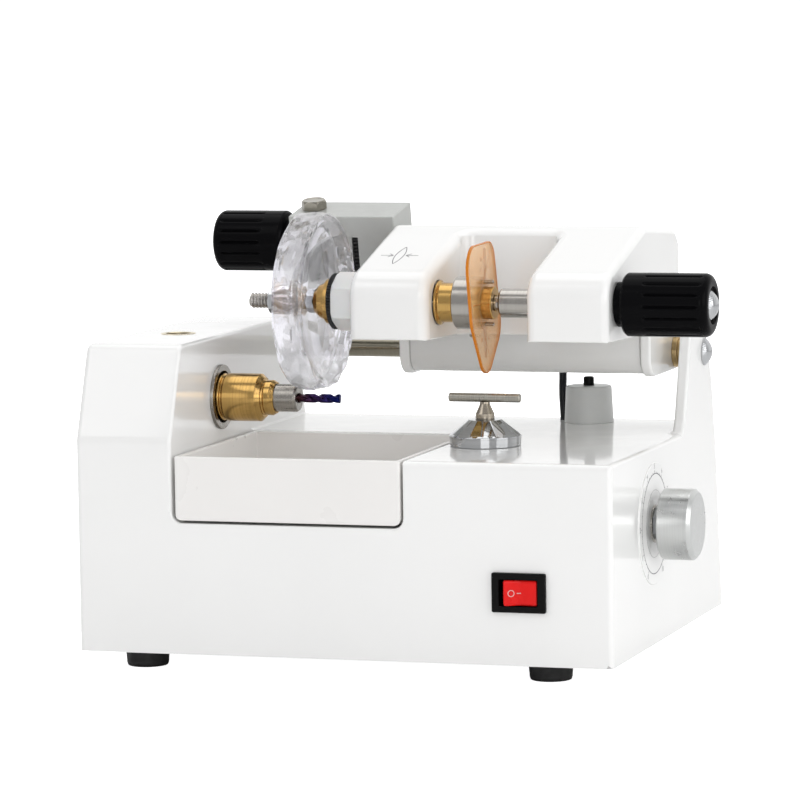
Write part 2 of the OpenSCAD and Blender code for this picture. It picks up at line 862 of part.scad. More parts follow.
module hand_knob() {
    color("black") placed() translate([-head_right + 0.3, axis_y, lens_z]) difference() {
        knob_shape(knob_len, spindle_r + slip_gap, 20.9);
        bar_x(20, 60, 2.6);
    }
}

module hand_knob_bolt() {
    color("silver") placed()
        dome_screw_x(knob_end_x - knob_recess + 0.01, axis_y, lens_z, 5.6, dome_h, 2.5, 26);
}

module hex_hub() {
    color("white") placed() difference() {
        bar_x(-ring_right + slip_gap, -hub_right, 11.5, axis_y, lens_z, fn = 6);
        bar_x(-ring_right - 1, -ring_right + 2.2, thread_r + 0.1, axis_y, lens_z);
        bar_x(-ring_right + 1.8, -hub_right + 1, shaft_r + slip_gap, axis_y, lens_z);
    }
}

module drive_ring() {
    color("black") placed()
        ring_x(-cup_right + slip_gap, -ring_right, 10.9, thread_r + slip_gap, axis_y, lens_z);
}

module lens_cups() {
    color("goldenrod") placed() {
        difference() {
            union() {
                bar_x(-cup_right - 2.2, -cup_right, 8.8, axis_y, lens_z);
                bar_x(-133.5, -cup_right - 2.1, 4.6, axis_y, lens_z, 8);
            }
            bar_x(-140, -120, thread_r + slip_gap, axis_y, lens_z);
        }
        ring_x(-149, -lens_left - 0.05, 6.2, thread_r + slip_gap, axis_y, lens_z);
    }
}

module clamp_nuts() {
    color("silver") placed() {
        difference() {
            bar_x(-137.1, -133.5 - slip_gap, 4.6, axis_y, lens_z, fn = 6);
            bar_x(-140, -130, thread_r + slip_gap, axis_y, lens_z);
        }
        difference() {
            bar_x(-nut_left, -149 - slip_gap, 5.6, axis_y, lens_z, fn = 6);
            bar_x(-160, -140, thread_r + slip_gap, axis_y, lens_z);
        }
    }
}

module lens_blank() {
    rim_r = lens_d / 2;
    dish_r = rim_r - 2.5;
    front_rise = lens_left - lens_right_rim - lens_t;
    front_sphere = (rim_r * rim_r + front_rise * front_rise) / (2 * front_rise);
    dish_sphere = (dish_r * dish_r + lens_dish * lens_dish) / (2 * lens_dish);
    bore = thread_r + 0.1;
    steps = 12;
    radii = [for (i = [0:steps]) bore + (rim_r - bore) * i / steps];
    dish_radii = [for (i = [steps:-1:0]) bore + (dish_r - bore) * i / steps];
    color("lightblue", 0.5) placed() translate([-lens_left, axis_y, lens_z])
        rotate([0, 90, 0]) rotate_extrude() polygon(concat(
            [for (r = radii) [r, front_sphere - sqrt(front_sphere * front_sphere - r * r)]],
            [[rim_r, lens_left - lens_right_rim]],
            [for (r = dish_radii)
                [r, lens_left - lens_right_rim - lens_dish
                    + dish_sphere - sqrt(dish_sphere * dish_sphere - r * r)]]
        ));
}

// Head drive -------------------------------------------------------------------------------

module gear_motor() {
    color("dimgray") placed() difference() {
        union() {
            bar_x(-88, -60, 16, head_motor_y, head_motor_z);
            bar_x(-60 - eps, -36, 12, head_motor_y, head_motor_z);
            bar_x(-91, -87, 5, head_motor_y, head_motor_z);
        }
        bar_x(-92, -70, 2 + run_gap, head_motor_y, head_motor_z);
    }
}

module gear_motor_pulley() {
    color("silver") placed() {
        bar_x(lens_belt_x - 5, -71, 2, head_motor_y, head_motor_z);
        bar_x(lens_belt_x - 4, lens_belt_x + 4, gear_pulley_r, head_motor_y, head_motor_z);
    }
}

module lens_belt() {
    color("black") placed()
        belt_loop(lens_belt_x - belt_w / 2, belt_w, axis_y, lens_z, lens_pulley_r + 0.1,
                  head_motor_y, head_motor_z, gear_pulley_r + 0.1, belt_t);
}

// Feed block ----------------------------------------------------------------------------------

module block_frame() {
    translate([-head_left - block_len, block_front, block_top_z])
        rotate([block_tilt, 0, 0]) children();
}

module feed_block() {
    color("darkgray") placed() difference() {
        block_frame() translate([0, 0, -block_h]) cube([block_len, block_depth, block_h]);
        bar_x(-head_left - block_len - 1, -head_left - 8, shaft_r + run_gap, feed_y, feed_z);
        block_frame() {
            translate([26, -1, -22.6]) cube([2.6, 5, 14]);
            translate([7.1, 12, -9]) cylinder(h = 12, r = 3.05);
        }
    }
}

module feed_bolt() {
    color("silver") placed() block_frame() translate([7.1, 12, 0]) {
        cylinder(h = 3.8, r = 5.3, $fn = 6);
        translate([0, 0, -5.6]) cylinder(h = 6, r = 3);
    }
}

module feed_knob() {
    color("black") placed()
        translate([-head_left - block_len - 0.3, feed_y, feed_z])
            mirror([1, 0, 0]) knob_shape(feed_knob_len, shaft_r + slip_gap, 16);
}

module feed_screw() {
    color("silver") placed()
        bar_x(-head_left - block_len - 15.6, -head_left - 9, shaft_r, feed_y, feed_z);
}

// Head lead ---------------------------------------------------------------------------------------

module head_cable() {
    color("black") placed() swept_tube(cable_route, cable_r, 8, flat_ends = true);
}

casing();
base_plate();
base_screws();
rubber_feet();
chip_tray();
tower_bush();
spindle_cartridge();
spindle_bearings();
cutter_spindle();
collet_nut();
collet();
milling_bit();
cutter_motor();
motor_bracket();
motor_pulley();
drive_belt();
rest_ring();
rest_stem();
rest_bar();
switch_body();
switch_rocker();
dial_plate();
speed_knob();
pot_shaft();
potentiometer();
control_board();
power_inlet();
stop_boss();
stop_plunger();
stop_spring();
head_casting();
head_shell();
end_plates();
head_screws();
pivot_rod();
pivot_bolt();
pivot_bushes();
head_bearings();
lens_spindle();
knob_spindle();
spindle_sleeve();
lens_pulley();
template_collar();
template();
template_nut();
hand_knob();
hand_knob_bolt();
hex_hub();
drive_ring();
lens_cups();
clamp_nuts();
lens_blank();
gear_motor();
gear_motor_pulley();
lens_belt();
feed_block();
feed_bolt();
feed_knob();
feed_screw();
head_cable();
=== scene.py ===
"""Looks of the lens cutting machine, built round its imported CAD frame.

Meshes are drawn in the casing frame, in millimetres: X = 0 is the outer face of the casing's right
wall, Y = 0 its front face and Z = 0 the table. piece() turns them into metres in the part's frame.
"""

import random
from math import asin, atan2, cos, degrees, pi, radians, sin, sqrt, tan

import bmesh
import bpy
from mathutils import Matrix, Vector
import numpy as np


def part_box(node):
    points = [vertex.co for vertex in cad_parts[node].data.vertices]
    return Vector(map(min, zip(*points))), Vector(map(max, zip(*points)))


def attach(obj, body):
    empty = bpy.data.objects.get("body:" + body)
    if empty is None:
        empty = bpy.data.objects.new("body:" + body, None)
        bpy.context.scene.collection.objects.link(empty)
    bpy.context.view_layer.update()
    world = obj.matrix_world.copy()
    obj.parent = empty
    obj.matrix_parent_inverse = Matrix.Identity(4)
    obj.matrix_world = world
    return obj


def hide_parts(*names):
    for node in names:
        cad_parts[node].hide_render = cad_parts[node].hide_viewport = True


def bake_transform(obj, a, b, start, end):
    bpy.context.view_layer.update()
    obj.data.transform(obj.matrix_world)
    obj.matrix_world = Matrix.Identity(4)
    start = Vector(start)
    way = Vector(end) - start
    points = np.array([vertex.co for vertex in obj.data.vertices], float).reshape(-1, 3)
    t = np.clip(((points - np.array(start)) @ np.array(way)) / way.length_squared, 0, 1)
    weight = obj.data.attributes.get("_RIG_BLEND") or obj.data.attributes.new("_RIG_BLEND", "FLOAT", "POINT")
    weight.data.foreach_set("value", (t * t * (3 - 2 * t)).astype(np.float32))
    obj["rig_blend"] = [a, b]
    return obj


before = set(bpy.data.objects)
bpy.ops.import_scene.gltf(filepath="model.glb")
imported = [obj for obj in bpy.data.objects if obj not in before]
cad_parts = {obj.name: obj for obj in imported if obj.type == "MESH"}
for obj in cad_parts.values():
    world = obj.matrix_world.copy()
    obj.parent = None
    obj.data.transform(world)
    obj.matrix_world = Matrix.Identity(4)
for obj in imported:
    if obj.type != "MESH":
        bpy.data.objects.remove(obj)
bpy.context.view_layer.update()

MM = 0.001
CORNER = Vector((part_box("casing")[1].x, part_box("casing")[0].y, 0.0))


# Places from the frame

def box(node):
    """Lowest and highest corner of a CAD node, in the casing frame, in mm."""
    lo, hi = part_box(node)
    return (lo - CORNER) / MM, (hi - CORNER) / MM


def middle(node):
    lo, hi = box(node)
    return (lo + hi) / 2


DECK_Z = 84.3
WALL = 3.0
TOWER_WIDTH = 39.0
TOWER_TOP = 125.8
REAR_FOOT = (172.5, 8.0)
REAR_KNEE = (165.6, 62.0)
REAR_SHOULDER = (157.0, 101.7)
LENS_AXIS = middle("knob_spindle")
CUTTER_AXIS = middle("milling_bit")
REST_AXIS = middle("rest_ring")
DIAL_AXIS = middle("speed_knob")
FEED_AXIS = middle("feed_screw")
PIVOT_AXIS = middle("pivot_rod")
BOSS_AXIS = middle("stop_boss")
SOCKET_AXIS = middle("tower_bush")


def turn(degrees_round, axis):
    return Matrix.Rotation(radians(degrees_round), 4, axis)


def on_x(point):
    """Local X runs along X through a point."""
    return Matrix.Translation((0, point.y, point.z))


def on_z(point):
    """Local X runs up through a point."""
    return Matrix.Translation((point.x, point.y, 0)) @ turn(-90, "Y")


# Mesh tools

def soften(points, radius, steps=4, closed=True):
    """A 2-D outline with its corners rounded. A point may carry its own radius as a third value."""
    out = []
    count = len(points)
    for i, point in enumerate(points):
        here = Vector(point[:2])
        size = point[2] if len(point) > 2 else radius
        at_end = not closed and i in (0, count - 1)
        before = Vector(points[i - 1][:2]) - here
        after = Vector(points[(i + 1) % count][:2]) - here
        if at_end or size <= 0 or before.length < 1e-6 or after.length < 1e-6:
            out.append(here)
            continue
        half = before.angle(after) / 2
        if half > radians(89):
            out.append(here)
            continue
        reach = min(size / tan(half), 0.49 * before.length, 0.49 * after.length)
        start = here + before.normalized() * reach
        end = here + after.normalized() * reach
        bisector = (before.normalized() + after.normalized()).normalized()
        true_radius = reach * tan(half)
        centre = here + bisector * (true_radius / sin(half))
        a = start - centre
        bend = a.angle_signed(end - centre)
        for k in range(steps + 1):
            swing = -bend * k / steps
            out.append(centre + Vector((a.x * cos(swing) - a.y * sin(swing),
                                        a.x * sin(swing) + a.y * cos(swing))))
    return out


def arc(cy, cz, radius, start, end, steps):
    """Points of an arc in a 2-D outline, angles in degrees."""
    out = []
    for k in range(steps + 1):
        a = radians(start + (end - start) * k / steps)
        out.append((cy + radius * cos(a), cz + radius * sin(a)))
    return out


def bridge(bm, low, high):
    count = len(low)
    if len(high) == 1:
        for k in range(count):
            bm.faces.new((low[k], low[(k + 1) % count], high[0]))
    elif count == 1:
        for k in range(len(high)):
            bm.faces.new((low[0], high[(k + 1) % len(high)], high[k]))
    else:
        for k in range(count):
            bm.faces.new((low[k], low[(k + 1) % count], high[(k + 1) % count], high[k]))


def loft(rings, bm=None, loop=False):
    """A closed skin over rings of points. With loop, the last ring joins the first."""
    bm = bm or bmesh.new()
    rows = [[bm.verts.new(p) for p in points] for points in rings]
    for low, high in zip(rows, rows[1:]):
        bridge(bm, low, high)
    if loop:
        bridge(bm, rows[-1], rows[0])
    else:
        for row in (rows[0], rows[-1]):
            if len(row) > 1:
                bm.faces.new(row)
    bmesh.ops.recalc_face_normals(bm, faces=bm.faces)
    return bm


def prism(outline, x0, x1):
    """A [Y, Z] outline drawn out along X."""
    return loft([[Vector((x, p[0], p[1])) for p in outline] for x in (x0, x1)])


def block(x0, x1, y0, y1, z0, z1):
    return prism([(y0, z0), (y1, z0), (y1, z1), (y0, z1)], x0, x1)


def turned(profile, place, radius=0.25, steps=96, bored=False, shape=None):
    """A turned part. profile is [along, radius] pairs: from axis to axis, or a loop if bored.
    shape(along, radius, angle) may change a point, as for flutes, flats and threads."""
    rows = []
    for along, r in soften(profile, radius, closed=bored):
        if r < 1e-4:
            rows.append([place @ Vector((along, 0, 0))])
            continue
        row = []
        for k in range(steps):
            a = 2 * pi * k / steps
            s, q = shape(along, r, a) if shape else (along, r)
            row.append(place @ Vector((s, q * cos(a), q * sin(a))))
        rows.append(row)
    return loft(rows, loop=bored)


def hexagonal(flat_radius, from_x=-1e9, to_x=1e9):
    """A shape for turned(): six flats at that distance from the axis."""
    def shape(along, r, angle):
        if not from_x <= along <= to_x:
            return along, r
        side = (angle + pi / 6) % (pi / 3) - pi / 6
        return along, min(r, flat_radius / cos(side))
    return shape


def ring(profile, place, steps=96):
    """A turned part with a bore, from a closed profile."""
    return turned(profile, place, 0.1, steps, True)


def drill(place, start, end, radius, steps=96):
    """A closed cylinder, for cutting a round hole."""
    return turned([(start, 0), (start, radius), (end, radius), (end, 0)], place, 0, steps)


def as_mesh(bm, name="temporary"):
    mesh = bpy.data.meshes.new(name)
    bm.to_mesh(mesh)
    bm.free()
    return mesh


def add_object(name, data):
    obj = bpy.data.objects.new(name, data)
    bpy.context.scene.collection.objects.link(obj)
    return obj


def join(*parts):
    """One bmesh of several."""
    out = parts[0]
    for other in parts[1:]:
        mesh = as_mesh(other)
        out.from_mesh(mesh)
        bpy.data.meshes.remove(mesh)
    return out


def moved(bm, matrix):
    bm.transform(matrix)
    return bm


def as_object(bm):
    return add_object("temporary", as_mesh(bm))


def baked(obj):
    """The bmesh of an object with its modifiers applied. The object is removed."""
    depsgraph = bpy.context.evaluated_depsgraph_get()
    mesh = bpy.data.meshes.new_from_object(obj.evaluated_get(depsgraph))
    bm = bmesh.new()
    bm.from_mesh(mesh)
    bpy.data.meshes.remove(mesh)
    bpy.data.objects.remove(obj)
    return bm


def combine(bm, tool, operation="DIFFERENCE"):
    """A boolean of two closed meshes."""
    target, other = as_object(bm), as_object(tool)
    modifier = target.modifiers.new("combine", "BOOLEAN")
    modifier.operation = operation
    modifier.object = other
    modifier.solver = "EXACT"
    out = baked(target)
    bpy.data.objects.remove(other)
    return out


def clean(bm):
    """Merges doubled points and joins coplanar faces."""
    bmesh.ops.remove_doubles(bm, verts=bm.verts, dist=1e-3)
    bmesh.ops.dissolve_limit(bm, angle_limit=radians(0.4), verts=bm.verts, edges=bm.edges)
    return bm


def mark_edges(bm, weight):
    """Says how much of a later rounding each edge takes: weight(edge, middle, angle in degrees)."""
    layer = bm.edges.layers.float.get("bevel_weight_edge") or bm.edges.layers.float.new("bevel_weight_edge")
    for edge in bm.edges:
        if len(edge.link_faces) == 2:
            angle = degrees(edge.calc_face_angle(0.0))
            edge[layer] = weight(edge, (edge.verts[0].co + edge.verts[1].co) / 2, angle)
    return bm


def round_marked(bm, width, segments=4):
    """Rounds the marked edges by up to width."""
    obj = as_object(bm)
    modifier = obj.modifiers.new("round", "BEVEL")
    modifier.limit_method = "WEIGHT"
    modifier.width = width
    modifier.segments = segments
    modifier.use_clamp_overlap = False
    out = baked(obj)
    bmesh.ops.remove_doubles(out, verts=out.verts, dist=1e-4)
    out.edges.layers.float.remove(out.edges.layers.float["bevel_weight_edge"])
    return out


def round_edges(bm, weight, width, segments=4):
    return round_marked(mark_edges(bm, weight), width, segments)


def rounded_block(x0, x1, y0, y1, z0, z1, radius, segments=3):
    return round_edges(block(x0, x1, y0, y1, z0, z1), lambda e, m, a: 1.0, radius, segments)


def tube(route, radius, sides=16):
    """A tube along points, with a smooth line through them."""
    points = []
    for i in range(len(route) - 1):
        p = [Vector(route[max(0, min(len(route) - 1, i + k))]) for k in (-1, 0, 1, 2)]
        for k in range(4):
            t = k / 4
            points.append(0.5 * (2 * p[1] + (p[2] - p[0]) * t
                                 + (2 * p[0] - 5 * p[1] + 4 * p[2] - p[3]) * t * t
                                 + (3 * p[1] - p[0] - 3 * p[2] + p[3]) * t ** 3))
    points.append(Vector(route[-1]))
    rings = []
    for i, point in enumerate(points):
        ahead = (points[min(i + 1, len(points) - 1)] - points[max(i - 1, 0)]).normalized()
        side = ahead.cross(Vector((0, 1, 0))).normalized()
        up = ahead.cross(side)
        rings.append([point + radius * (cos(a) * side + sin(a) * up)
                      for a in (2 * pi * k / sides for k in range(sides))])
    return loft(rings)


def smooth_object(name, bm, material):
    """An object in the part's frame, from a mesh in the casing frame."""
    bm.transform(Matrix.Translation(CORNER) @ Matrix.Scale(MM, 4))
    mesh = as_mesh(bm, name)
    mesh.shade_smooth()
    mesh.materials.append(material)
    return add_object(name, mesh)


def piece(name, bm, material, body, stands_for=None, sharp=30):
    """Turns a mesh in the casing frame into a piece that rides on a body."""
    obj = smooth_object(name, bm, material)
    obj.data.set_sharp_from_angle(angle=radians(sharp))
    obj.modifiers.new("normals", "WEIGHTED_NORMAL").keep_sharp = True
    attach(obj, body)
    if stands_for:
        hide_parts(stands_for)


# Materials

def principled(name, color, roughness, metallic=0.0, **sockets):
    material = bpy.data.materials.new(name)
    material.use_nodes = True
    shader = material.node_tree.nodes["Principled BSDF"]
    shader.inputs["Base Color"].default_value = (*color, 1.0)
    shader.inputs["Roughness"].default_value = roughness
    shader.inputs["Metallic"].default_value = metallic
    for socket, value in sockets.items():
        shader.inputs[socket.replace("_", " ")].default_value = value
    material.diffuse_color = (*color, 1.0)
    return material, shader


def add_node(tree, kind, operation=None, **inputs):
    """A shader node. An input given a socket is linked to it, and any other value is set."""
    node = tree.nodes.new("ShaderNode" + kind)
    if operation:
        node.operation = operation
    for name, value in inputs.items():
        socket = node.inputs[int(name[-1]) if name.startswith("input_") else name.replace("_", " ")]
        if isinstance(value, bpy.types.NodeSocket):
            tree.links.new(value, socket)
        else:
            socket.default_value = value
    return node


def object_coordinates(tree):
    return add_node(tree, "TexCoord").outputs["Object"]


def noise_node(material, scale, detail=3.0, vector=None):
    """Noise over object coordinates in metres. scale is in features per metre."""
    tree = material.node_tree
    if vector is None:
        vector = object_coordinates(tree)
    return add_node(tree, "TexNoise", Vector=vector, Scale=scale, Detail=detail).outputs["Fac"]


def add_ramp(tree, fac, stops):
    """A colour ramp over (position, colour) stops, two of them."""
    ramp = add_node(tree, "ValToRGB", Fac=fac)
    for element, (position, color) in zip(ramp.color_ramp.elements, stops):
        element.position = position
        element.color = (*color, 1.0)
    return ramp.outputs["Color"]


def vary_color(material, shader, fac, low, high, spread=(0.35, 0.65)):
    tree = material.node_tree
    color = add_ramp(tree, fac, zip(spread, (low, high)))
    tree.links.new(color, shader.inputs["Base Color"])


def vary_roughness(material, shader, fac, low, high):
    tree = material.node_tree
    ranged = add_node(tree, "MapRange", Value=fac, From_Min=0.3, From_Max=0.7, To_Min=low, To_Max=high)
    tree.links.new(ranged.outputs["Result"], shader.inputs["Roughness"])


def add_bump(material, shader, fac, depth, strength=1.0):
    """Relief of that depth, in mm."""
    tree = material.node_tree
    bump = add_node(tree, "Bump", Height=fac, Strength=strength, Distance=depth * MM)
    tree.links.new(bump.outputs["Normal"], shader.inputs["Normal"])


def shade(color, share):
    return tuple(c * share for c in color)


def paint(name, color, roughness=0.12, peel=0.012):
    """Sprayed enamel: a faint orange peel under gloss, and slow changes of tone."""
    material, shader = principled(name, color, roughness, Coat_Weight=0.5, Coat_Roughness=0.04)
    vary_color(material, shader, noise_node(material, 14, 2), shade(color, 0.975), color)
    vary_roughness(material, shader, noise_node(material, 45, 4), roughness * 0.8, roughness * 1.35)
    add_bump(material, shader, noise_node(material, 420, 2), peel, 0.35)
    return material


def moulded(name, color, roughness, grain=0.02, scale=900, **sockets):
    """Moulded plastic or rubber with a fine grain."""
    material, shader = principled(name, color, roughness, **sockets)
    vary_color(material, shader, noise_node(material, 60, 3), shade(color, 0.95), color)
    vary_roughness(material, shader, noise_node(material, 240, 4), roughness * 0.85, roughness * 1.25)
    add_bump(material, shader, noise_node(material, scale, 3), grain, 0.5)
    return material


def machined(name, color, roughness, point, along="X", groove=0.006, contrast=0.82, rings=2400):
    """Turned or ground metal: fine rings round its own axis through a point in the casing frame."""
    material, shader = principled(name, color, roughness, metallic=1.0)
    tree = material.node_tree
    across = (0, 1, 1) if along == "X" else (1, 1, 0)
    shift = add_node(tree, "VectorMath", "SUBTRACT", input_0=object_coordinates(tree),
                     input_1=CORNER + Vector(point) * MM).outputs["Vector"]
    flat = add_node(tree, "VectorMath", "MULTIPLY", input_0=shift, input_1=across)
    length = add_node(tree, "VectorMath", "LENGTH", input_0=flat.outputs["Vector"])
    split = add_node(tree, "SeparateXYZ", Vector=shift)
    pair = add_node(tree, "CombineXYZ", X=split.outputs[along], Y=length.outputs["Value"])
    grooves = noise_node(material, rings, 3, pair.outputs["Vector"])
    vary_color(material, shader, grooves, shade(color, contrast), color)
    vary_roughness(material, shader, noise_node(material, 320, 4), roughness * 0.88, roughness * 1.16)
    add_bump(material, shader, grooves, groove, 0.6)
    return material


STEEL = (0.50, 0.48, 0.44)
BRASS = (0.56, 0.35, 0.115)
CHROME = (0.52, 0.53, 0.54)

white_paint = paint("white_enamel", (0.90, 0.90, 0.885))
shell_paint = paint("shell_enamel", (0.80, 0.80, 0.785), roughness=0.2)
tray_plastic = paint("tray_plastic", (0.88, 0.865, 0.84), roughness=0.3, peel=0.006)
black_phenolic = moulded("black_phenolic", (0.004, 0.004, 0.0045), 0.16, grain=0.004,
                         Specular_IOR_Level=0.03)
black_plastic = moulded("black_plastic", (0.006, 0.006, 0.006), 0.3, grain=0.01, Specular_IOR_Level=0.07)
grey_plastic = moulded("grey_plastic", (0.64, 0.65, 0.64), 0.38, grain=0.03)
white_nylon = moulded("white_nylon", (0.86, 0.82, 0.79), 0.45, grain=0.03, Subsurface_Weight=0.15)
foot_rubber = moulded("foot_rubber", (0.014, 0.014, 0.014), 0.55, grain=0.05)
belt_rubber = moulded("belt_rubber", (0.012, 0.012, 0.012), 0.6, grain=0.06)
cable_jacket = moulded("cable_jacket", (0.008, 0.009, 0.012), 0.35, grain=0.02, Specular_IOR_Level=0.3)
circuit_board = moulded("circuit_board", (0.02, 0.16, 0.06), 0.4, grain=0.03)
rocker_red = moulded("rocker_red", (0.78, 0.008, 0.007), 0.24, grain=0.004, Specular_IOR_Level=0.2)
ink_grey = moulded("printed_ink", (0.10, 0.10, 0.11), 0.5, grain=0.004)
ink_pale = moulded("pale_ink", (0.80, 0.45, 0.44), 0.45, grain=0.004)
ink_orange = moulded("orange_ink", (0.38, 0.12, 0.015), 0.5, grain=0.004)
dial_film = paint("dial_film", (0.90, 0.90, 0.885), roughness=0.18, peel=0.004)
sheet_steel = moulded("zinc_plate", (0.62, 0.62, 0.60), 0.35, grain=0.01, Metallic=1.0)
motor_steel = moulded("motor_steel", (0.30, 0.31, 0.32), 0.35, grain=0.02, Metallic=0.9)
block_aluminium = moulded("block_aluminium", (0.50, 0.51, 0.49), 0.34, scale=1400, Metallic=0.35)

lens_steel = machined("lens_line_steel", (0.42, 0.40, 0.37), 0.2, LENS_AXIS, groove=0.003, contrast=0.92)
lens_brass = machined("lens_line_brass", BRASS, 0.2, LENS_AXIS, groove=0.003, contrast=0.9)
lens_chrome = machined("lens_line_chrome", CHROME, 0.07, LENS_AXIS, groove=0.001)
cutter_steel = machined("cutter_steel", (0.36, 0.34, 0.31), 0.26, CUTTER_AXIS, groove=0.003, contrast=0.88)
cutter_brass = machined("cutter_brass", BRASS, 0.17, CUTTER_AXIS, groove=0.004)
rest_chrome = machined("rest_chrome", CHROME, 0.05, REST_AXIS, along="Z", groove=0.001)
rest_steel = machined("rest_steel", (0.42, 0.37, 0.30), 0.22, REST_AXIS, along="Z")
bar_steel = machined("bar_steel", (0.44, 0.42, 0.37), 0.3, middle("rest_bar"))
dial_aluminium = machined("dial_aluminium", (0.62, 0.63, 0.62), 0.3, DIAL_AXIS, groove=0.005, contrast=0.94)
pivot_steel = machined("pivot_steel", (0.26, 0.24, 0.19), 0.22, PIVOT_AXIS, groove=0.003, contrast=0.86)
pivot_chrome = machined("pivot_chrome", CHROME, 0.08, PIVOT_AXIS, groove=0.001)
pivot_bronze = machined("pivot_bronze", (0.50, 0.36, 0.18), 0.3, PIVOT_AXIS)
socket_brass = machined("socket_brass", (0.78, 0.70, 0.52), 0.3, SOCKET_AXIS, along="Z")
bolt_steel = machined("bolt_steel", (0.36, 0.34, 0.29), 0.18, middle("feed_bolt"), along="Z", groove=0.001)
feed_steel = machined("feed_steel", STEEL, 0.25, FEED_AXIS)


def make_bit_metal():
    """Carbide with a heat-tinted coating, brown at the root and blue at the tip."""
    material, shader = principled("coated_carbide", (0.10, 0.05, 0.18), 0.2, metallic=1.0)
    tree = material.node_tree
    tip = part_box("milling_bit")[1].x
    split = add_node(tree, "SeparateXYZ", Vector=object_coordinates(tree))
    along = add_node(tree, "MapRange", Value=split.outputs["X"], From_Min=tip - 0.020, From_Max=tip)
    wobble = add_node(tree, "Math", "MULTIPLY_ADD", input_0=noise_node(material, 300, 2), input_1=0.5,
                      input_2=-0.25)
    mixed = add_node(tree, "Math", "ADD", input_0=along.outputs["Result"], input_1=wobble.outputs["Value"])
    vary_color(material, shader, mixed.outputs["Value"], (0.055, 0.02, 0.015), (0.008, 0.012, 0.10),
               (0.1, 0.9))
    vary_roughness(material, shader, noise_node(material, 500, 3), 0.14, 0.3)
    add_bump(material, shader, noise_node(material, 2500, 2), 0.004, 0.4)
    return material


def make_clear(name, color, ior, roughness, wave_scale, wave_depth, clear, alpha):
    """A clear plastic whose surface waves a little."""
    material, shader = principled(name, color, roughness, Transmission_Weight=clear, IOR=ior, Alpha=alpha)
    vary_roughness(material, shader, noise_node(material, 120, 3), roughness * 0.5, roughness * 1.6)
    add_bump(material, shader, noise_node(material, wave_scale, 3), wave_depth, 0.6)
    return material


bit_metal = make_bit_metal()
lens_resin = make_clear("lens_resin", (0.91, 0.90, 0.98), 1.5, 0.01, 120, 0.03, 1.0, 0.76)
template_acrylic = make_clear("template_acrylic", (1.0, 0.60, 0.24), 1.2, 0.1, 200, 0.01, 0.6, 0.62)
rim_acrylic = moulded("rim_acrylic", (0.60, 0.19, 0.012), 0.2, grain=0.002, Specular_IOR_Level=0.25)


# Casing and what is fixed to it

def rear_wall_frame():
    """Origin on the sloping rear wall at the inlet, local Y outwards."""
    lo, hi = box("power_inlet")
    slope = atan2(REAR_FOOT[0] - REAR_KNEE[0], REAR_KNEE[1] - REAR_FOOT[1])
    z = 35.0
    y = REAR_FOOT[0] - (z - REAR_FOOT[1]) * tan(slope)
    return Matrix.Translation(((lo.x + hi.x) / 2, y, z)) @ Matrix.Rotation(slope, 4, "X")


def make_casing():
    width = -box("casing")[0].x
    tower_x = TOWER_WIDTH - width
    foot = REAR_FOOT[1]
    lean = (REAR_KNEE[0] - REAR_SHOULDER[0]) / (REAR_SHOULDER[1] - REAR_KNEE[1])
    rear_y = REAR_KNEE[0] - (DECK_Z - REAR_KNEE[1]) * lean
    low = [(0, foot), REAR_FOOT, REAR_KNEE, (rear_y, DECK_Z), (0, DECK_Z)]
    tower = low[:-1] + [(*REAR_SHOULDER, 30), (146.5, TOWER_TOP, 5), (13.5, TOWER_TOP, 4.5), (0, 90.1, 10),
                        (0, DECK_Z)]
    post = [(88, 64), (164, 64), (rear_y, DECK_Z), REAR_SHOULDER, (146.5, TOWER_TOP, 7),
            (124, TOWER_TOP, 7), (112, 88.5, 8), (104, 79)]
    body = prism(low, -width, 0)
    body = combine(body, prism(soften(tower, 0, 6), -width, tower_x), "UNION")
    body = combine(body, prism(soften(post, 0, 6), -4.6, 0), "UNION")
    tray_lo, tray_hi = box("chip_tray")
    recess = soften([(tray_hi.z + 40, tower_x), (tray_hi.z + 40, tray_hi.x + 1),
                     (tray_lo.z - 1, tray_hi.x + 1, 4), (tray_lo.z - 1, tower_x, 4)], 0, 5)
    body = combine(body, loft([[Vector((x, y, z)) for z, x in recess] for y in (-5, tray_hi.y + 2)]))
    body = clean(body)

    def weight(edge, spot, angle):
        if angle < 20 or spot.z < foot + 0.5:
            return 0.0
        if abs(spot.x - tower_x) < 0.1:
            return 0.6
        if tower_x < spot.x < tray_hi.x + 1.2 and spot.y < tray_hi.y + 2.2:
            return 0.35 if spot.y < 0.2 or spot.z > DECK_Z - 0.2 else 0.0
        if spot.x > -4.8 and spot.y > 100 and spot.z > DECK_Z - 6:
            return 0.55
        return 1.0
    body = mark_edges(body, weight)

    inner_low = [(WALL, 0), (169.2, 0), (162.7, 61.6), (158.4, DECK_Z - WALL), (WALL, DECK_Z - WALL)]
    inner_tower = [(WALL, -1), (169.2, -1), (162.7, 61.6), (154, 101), (144.5, 122.8), (15.8, 122.8),
                   (WALL, 90.2)]
    hollow = combine(prism(inner_low, -width + WALL, -WALL),
                     prism(inner_tower, -width + WALL, tower_x - WALL), "UNION")
    lining = loft([[Vector((x, y, z)) for z, x in
                    [(DECK_Z + 9, tower_x - 2.5), (DECK_Z + 9, tray_hi.x + 3.5),
                     (tray_lo.z - 3.5, tray_hi.x + 3.5), (tray_lo.z - 3.5, tower_x - 2.5)]]
                   for y in (-9, tray_hi.y + 4.5)])
    body = combine(body, combine(hollow, lining))
    for tool in casing_holes(tower_x):
        body = combine(body, tool)
    body = round_marked(clean(body), 2.4, 5)
    piece("casing_shell", body, white_paint, "base", "casing", 35)


